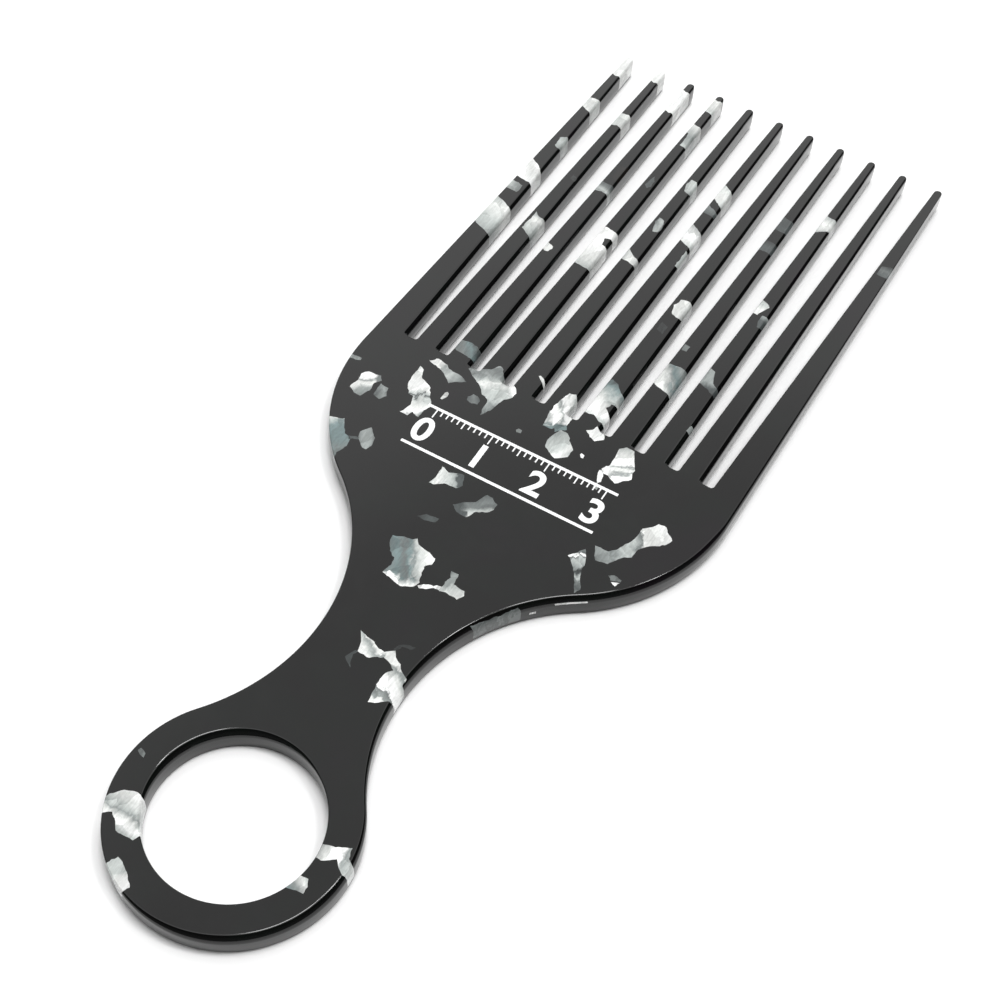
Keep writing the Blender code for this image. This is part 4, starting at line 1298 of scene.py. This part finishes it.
def new_material(name):
    material = bpy.data.materials.new(name)
    material.use_nodes = True
    tree = material.node_tree
    shader = tree.nodes["Principled BSDF"]
    coordinates = tree.nodes.new("ShaderNodeTexCoord")
    return material, tree, shader, coordinates.outputs["Object"]


def add_bump(tree, shader, height, strength, distance):
    bump = tree.nodes.new("ShaderNodeBump")
    bump.inputs["Strength"].default_value = strength
    bump.inputs["Distance"].default_value = distance
    tree.links.new(height, bump.inputs["Height"])
    tree.links.new(bump.outputs["Normal"], shader.inputs["Normal"])


def ramp_node(tree, value, stops):
    ramp = tree.nodes.new("ShaderNodeValToRGB")
    points = ramp.color_ramp.elements
    while len(points) < len(stops):
        points.new(1.0)
    for point, (place, colour) in zip(points, stops):
        point.position = place
        point.color = (*colour, 1.0)
    tree.links.new(value, ramp.inputs["Fac"])
    return ramp.outputs["Color"]


def tinted(colour, tints):
    # Stops of a ramp whose colours are one colour times the shares of each stop
    stops = []
    for place, shares in tints:
        stops.append((place, [value * share for value, share in zip(colour, shares)]))
    return stops


def polished(tree, shader, vector, groups):
    # Gloss and roughness of polished acetate
    polish = use_group(tree, groups["polish"], vector)
    tree.links.new(polish.outputs["Roughness"], shader.inputs["Roughness"])
    shader.inputs["IOR"].default_value = ACETATE_IOR
    return polish


def black_acetate(groups):
    material, tree, shader, vector = new_material("black_acetate")
    polish = polished(tree, shader, vector, groups)
    tint = ramp_node(tree, polish.outputs["Tint"], tinted(PLATE_COLOUR, PLATE_TINT_SHARES))
    tree.links.new(tint, shader.inputs["Base Color"])
    add_bump(tree, shader, polish.outputs["Height"], POLISH_BUMP_SHARE, FINISH_DEPTH)
    return material


def way_across(tree, groups, vector, outline, angle, shift):
    # Share of the way across an outline at a turn, bent by the pearl
    direction = Vector((math.cos(math.radians(angle)), math.sin(math.radians(angle)), 0.0))
    middle = tip_height() / 2
    reaches = [Vector((x, y - middle, 0.0)).dot(direction) for x, y in outline]
    way = use_group(tree, groups["way"], vector)
    way.inputs["Direction"].default_value = direction
    way.inputs["Low"].default_value = min(reaches)
    way.inputs["High"].default_value = max(reaches)
    return math_node(tree, "ADD", way.outputs["Share"], shift)


def pearl_material(name, outline, look, groups):
    # Tones run across the flake, and folds lie over them; the lightest tones are partly painted
    # highlight
    material, tree, shader, vector = new_material(name)
    angle, stops, folds = look
    pearl = use_group(tree, groups["pearl"], vector)
    shift = pearl.outputs["Shift"]
    along = way_across(tree, groups, vector, outline, angle, shift)
    colour = ramp_node(tree, along, [(place, TONES[tone]) for place, tone in stops])
    for turn, start, fade, tone in folds:
        reach = way_across(tree, groups, vector, outline, turn, shift)
        mix = tree.nodes.new("ShaderNodeMix")
        mix.data_type = "RGBA"
        beyond = range_node(tree, reach, (start, start + fade, 0.0, 1.0))
        tree.links.new(beyond, mix.inputs["Factor"])
        tree.links.new(colour, mix.inputs[MIX_FIRST])
        mix.inputs[MIX_SECOND].default_value = (*TONES[tone], 1.0)
        colour = mix.outputs[MIX_RESULT]
    shade = tree.nodes.new("ShaderNodeVectorMath")
    shade.operation = "SCALE"
    tree.links.new(colour, shade.inputs[0])
    tree.links.new(pearl.outputs["Lightness"], shade.inputs["Scale"])
    tree.links.new(shade.outputs["Vector"], shader.inputs["Base Color"])
    polished(tree, shader, vector, groups)
    add_bump(tree, shader, pearl.outputs["Height"], PEARL_BUMP_SHARE, FINISH_DEPTH)
    return material


def ink_material():
    material, tree, shader, vector = new_material("scale_ink")
    grain = noise_node(tree, vector, INK_GRAIN_NOISE).outputs["Fac"]
    wear = noise_node(tree, vector, INK_WEAR_NOISE).outputs["Fac"]
    tint = ramp_node(tree, wear, tinted(INK_COLOUR, INK_TINT_SHARES))
    tree.links.new(tint, shader.inputs["Base Color"])
    tree.links.new(range_node(tree, grain, INK_ROUGHNESS_SHARES), shader.inputs["Roughness"])
    add_bump(tree, shader, grain, INK_BUMP_SHARE, INK_GRAIN_DEPTH)
    return material


def floor_material():
    # Pale floor that fades to plain white far from the pick
    material, tree, shader, vector = new_material("pale_floor")
    grain = noise_node(tree, vector, FLOOR_NOISE).outputs["Fac"]
    tint = ramp_node(tree, grain, tinted(FLOOR_COLOUR, FLOOR_TINT_SHARES))
    tree.links.new(tint, shader.inputs["Base Color"])
    shader.inputs["Roughness"].default_value = FLOOR_ROUGHNESS
    shader.inputs["Specular IOR Level"].default_value = FLOOR_GLOSS
    reach = tree.nodes.new("ShaderNodeVectorMath")
    reach.operation = "LENGTH"
    tree.links.new(vector, reach.inputs[0])
    fade = range_node(tree, reach.outputs["Value"], FLOOR_FADE)
    path = tree.nodes.new("ShaderNodeLightPath")
    fade = math_node(tree, "MULTIPLY", fade, path.outputs["Is Camera Ray"])
    white = tree.nodes.new("ShaderNodeEmission")
    white.inputs["Color"].default_value = WHITE
    output = tree.nodes["Material Output"]
    mix_shaders(tree, fade, shader.outputs["BSDF"], white.outputs["Emission"], output)
    return material


def fleck_material(tone, groups):
    material, tree, shader, vector = new_material("fleck_" + tone)
    pearl = use_group(tree, groups["pearl"], vector)
    tint = ramp_node(tree, pearl.outputs["Lightness"], tinted(TONES[tone], FLECK_TINT_SHARES))
    tree.links.new(tint, shader.inputs["Base Color"])
    polished(tree, shader, vector, groups)
    add_bump(tree, shader, pearl.outputs["Height"], PEARL_BUMP_SHARE, FINISH_DEPTH)
    return material


def ride_piece(item, material, slot, *nodes):
    item.data.materials.clear()
    item.data.materials.append(material)
    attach(item, "root")
    if nodes:
        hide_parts(*nodes)


def torn_rows(tables):
    rows = []
    for name, depth, tone, outline in flake_outlines(tables):
        rows.append((name, depth, tone, torn(turned_left(outline))))
    return rows


def build_pick(groups):
    flakes = torn_rows(FLAKE_TABLES)
    flecks = torn_rows(FLECK_TABLES)
    sheet = sheet_mesh("pick_sheet")
    for name, depth, tone, outline in flakes:
        prism = flake_prism("flake_" + name, depth, outline)
        flake = cut_mesh("flake_" + name, prism, "INTERSECT", [sheet])
        material = pearl_material("pearl_" + name, outline, FLAKE_LOOK_SHARES[name], groups)
        ride_piece(flake, material, TONE_SLOTS[tone], "pearl_chip_" + name)
    looks = {}
    for name, depth, tone, outline in flecks:
        if tone not in looks:
            looks[tone] = fleck_material(tone, groups)
        prism = flake_prism("fleck_" + name, depth, outline)
        fleck = cut_mesh("fleck_" + name, prism, "INTERSECT", [sheet])
        ride_piece(fleck, looks[tone], TONE_SLOTS[tone])
    pockets = []
    for name, depth, tone, outline in flakes + flecks:
        pockets.append(flake_prism("pocket_" + name, depth, outline))
    plate = cut_mesh("pick_sheet", sheet, "DIFFERENCE", pockets)
    ride_piece(plate, black_acetate(groups), "black_acetate", "comb_plate")


def scale_place(across, height):
    # A place on the printed scale, which sits slightly turned on the body
    turn = math.radians(SCALE_TILT_DEGREES)
    up = height - SCALE_FOOT_HEIGHT
    x = across * math.cos(turn) - up * math.sin(turn)
    y = across * math.sin(turn) + up * math.cos(turn)
    return (x, SCALE_FOOT_HEIGHT + y - tip_height() / 2)


def bar_corners(left, right, low, high):
    places = ((left, low), (right, low), (right, high), (left, high))
    return [scale_place(*place) for place in places]


def scale_bars():
    # The two rules and the ticks that hang from the upper one
    half = SCALE_WIDTH / 2
    top = SCALE_TOP_HEIGHT - SCALE_RULE_WIDTH
    bars = [bar_corners(-half, half, SCALE_FOOT_HEIGHT, SCALE_FOOT_HEIGHT + SCALE_RULE_WIDTH)]
    bars.append(bar_corners(-half, half, top, SCALE_TOP_HEIGHT))
    count = SCALE_STEPS * TICKS_PER_STEP
    for index in range(count + 1):
        across = (index - count / 2) * SCALE_STEP / TICKS_PER_STEP
        left = across - TICK_WIDTH / 2
        length = SHORT_TICK
        if index % TICKS_PER_HALF_STEP == 0:
            length = MIDDLE_TICK
        if index % TICKS_PER_STEP == 0:
            length = LONG_TICK
        bars.append(bar_corners(left, across + TICK_WIDTH / 2, top - length, top))
    return bars


def scale_digits():
    # Plain numbers under the long ticks, as flat ink
    digits = []
    for index in range(SCALE_STEPS + 1):
        curve = bpy.data.curves.new("scale_number_" + str(index), "FONT")
        curve.body = str(index)
        curve.align_x = "CENTER"
        curve.size = DIGIT_HEIGHT / DIGIT_CAP_SHARE
        curve.offset = DIGIT_BOLDNESS
        curve.extrude = INK_DEPTH
        item = add_object(curve.name, curve)
        across = (index - SCALE_STEPS / 2) * SCALE_STEP
        x, y = scale_place(across, SCALE_FOOT_HEIGHT + SCALE_RULE_WIDTH + DIGIT_FOOT_GAP)
        turn = Matrix.Rotation(math.radians(SCALE_TILT_DEGREES), 4, "Z")
        item.matrix_world = Matrix.Translation((x, y, SHEET_THICKNESS)) @ turn
        digits.append(item)
    return digits


def build_scale():
    material = ink_material()
    data = bmesh.new()
    for corners in scale_bars():
        low = [data.verts.new((x, y, SHEET_THICKNESS - INK_DEPTH)) for x, y in corners]
        high = [data.verts.new((x, y, SHEET_THICKNESS + INK_DEPTH)) for x, y in corners]
        data.faces.new(high)
        data.faces.new(list(reversed(low)))
        for index in range(len(corners)):
            data.faces.new((low[index - 1], low[index], high[index], high[index - 1]))
    mesh = bpy.data.meshes.new("scale_rules")
    data.to_mesh(mesh)
    data.free()
    ride_piece(add_object("scale_rules", mesh), material, TONE_SLOTS["white"])
    for digit in scale_digits():
        ride_piece(digit, material, TONE_SLOTS["white"])


def build_floor():
    half = FLOOR_SIZE / 2
    mesh = bpy.data.meshes.new("floor")
    corners = [(-half, -half, 0.0), (half, -half, 0.0), (half, half, 0.0), (-half, half, 0.0)]
    mesh.from_pydata(corners, [], [(0, 1, 2, 3)])
    floor = add_object("floor", mesh)
    floor.location = (0.0, 0.0, -FLOOR_DROP)
    mesh.materials.append(floor_material())


def build_world():
    # Bright overhead towards the far side, dark round it, and white where the camera sees it
    world = bpy.data.worlds.new("studio")
    world.use_nodes = True
    tree = world.node_tree
    tree.nodes.clear()
    coordinates = tree.nodes.new("ShaderNodeTexCoord")
    turn = math.radians(SKY_TURN_DEGREES)
    rise = math.radians(SKY_RISE_DEGREES)
    ahead = (math.cos(turn) * math.cos(rise), math.sin(turn) * math.cos(rise), math.sin(rise))
    facing = tree.nodes.new("ShaderNodeVectorMath")
    facing.operation = "DOT_PRODUCT"
    facing.inputs[1].default_value = ahead
    tree.links.new(coordinates.outputs["Generated"], facing.inputs[0])
    stops = [(place, (level, level, level)) for place, level in SKY_SHARES]
    sky = tree.nodes.new("ShaderNodeBackground")
    sky.inputs["Strength"].default_value = SKY_STRENGTH
    tree.links.new(ramp_node(tree, facing.outputs["Value"], stops), sky.inputs["Color"])
    white = tree.nodes.new("ShaderNodeBackground")
    white.inputs["Color"].default_value = WHITE
    seen = tree.nodes.new("ShaderNodeLightPath").outputs["Is Camera Ray"]
    output = tree.nodes.new("ShaderNodeOutputWorld")
    mix_shaders(tree, seen, sky.outputs["Background"], white.outputs["Background"], output)
    bpy.context.scene.world = world


def build_lamp(name, size, place, power):
    light = bpy.data.lights.new(name, "AREA")
    light.shape = "SQUARE"
    light.size = size
    light.energy = power
    lamp = add_object(name, light)
    turn = (-Vector(place)).to_track_quat("-Z", "Y").to_matrix().to_4x4()
    lamp.matrix_world = Matrix.Translation(place) @ turn


def build_camera():
    azimuth = math.radians(CAMERA_AZIMUTH_DEGREES)
    elevation = math.radians(CAMERA_ELEVATION_DEGREES)
    roll = math.radians(CAMERA_ROLL_DEGREES)
    across = Vector((math.cos(azimuth), math.sin(azimuth), 0.0))
    away = Vector((-math.sin(azimuth), math.cos(azimuth), 0.0))
    upward = Vector((0.0, 0.0, 1.0))
    forward = away * math.cos(elevation) - upward * math.sin(elevation)
    level = away * math.sin(elevation) + upward * math.cos(elevation)
    right = across * math.cos(roll) + level * math.sin(roll)
    top = level * math.cos(roll) - across * math.sin(roll)
    target = Vector((CAMERA_TARGET_ACROSS, CAMERA_TARGET_HEIGHT - tip_height() / 2, SHEET_THICKNESS))
    place = target - forward * CAMERA_DISTANCE
    data = bpy.data.cameras.new("camera")
    data.lens = CAMERA_LENS
    data.sensor_width = CAMERA_SENSOR
    data.clip_start = CAMERA_CLIP_START
    camera = add_object("camera", data)
    turn = Matrix((right, top, -forward)).transposed().to_4x4()
    camera.matrix_world = Matrix.Translation(place) @ turn
    bpy.context.scene.camera = camera


def build():
    bpy.context.scene.view_settings.view_transform = "Standard"
    noise.seed_set(TEAR_SEED)
    groups = {"polish": polish_group(), "pearl": pearl_group(), "way": way_group()}
    build_pick(groups)
    build_scale()
    build_floor()
    build_world()
    build_lamp("softbox", SOFTBOX_SIZE, SOFTBOX_PLACE, SOFTBOX_POWER)
    build_lamp("small_softbox", GLINT_SIZE, GLINT_PLACE, GLINT_POWER)
    build_camera()


build()
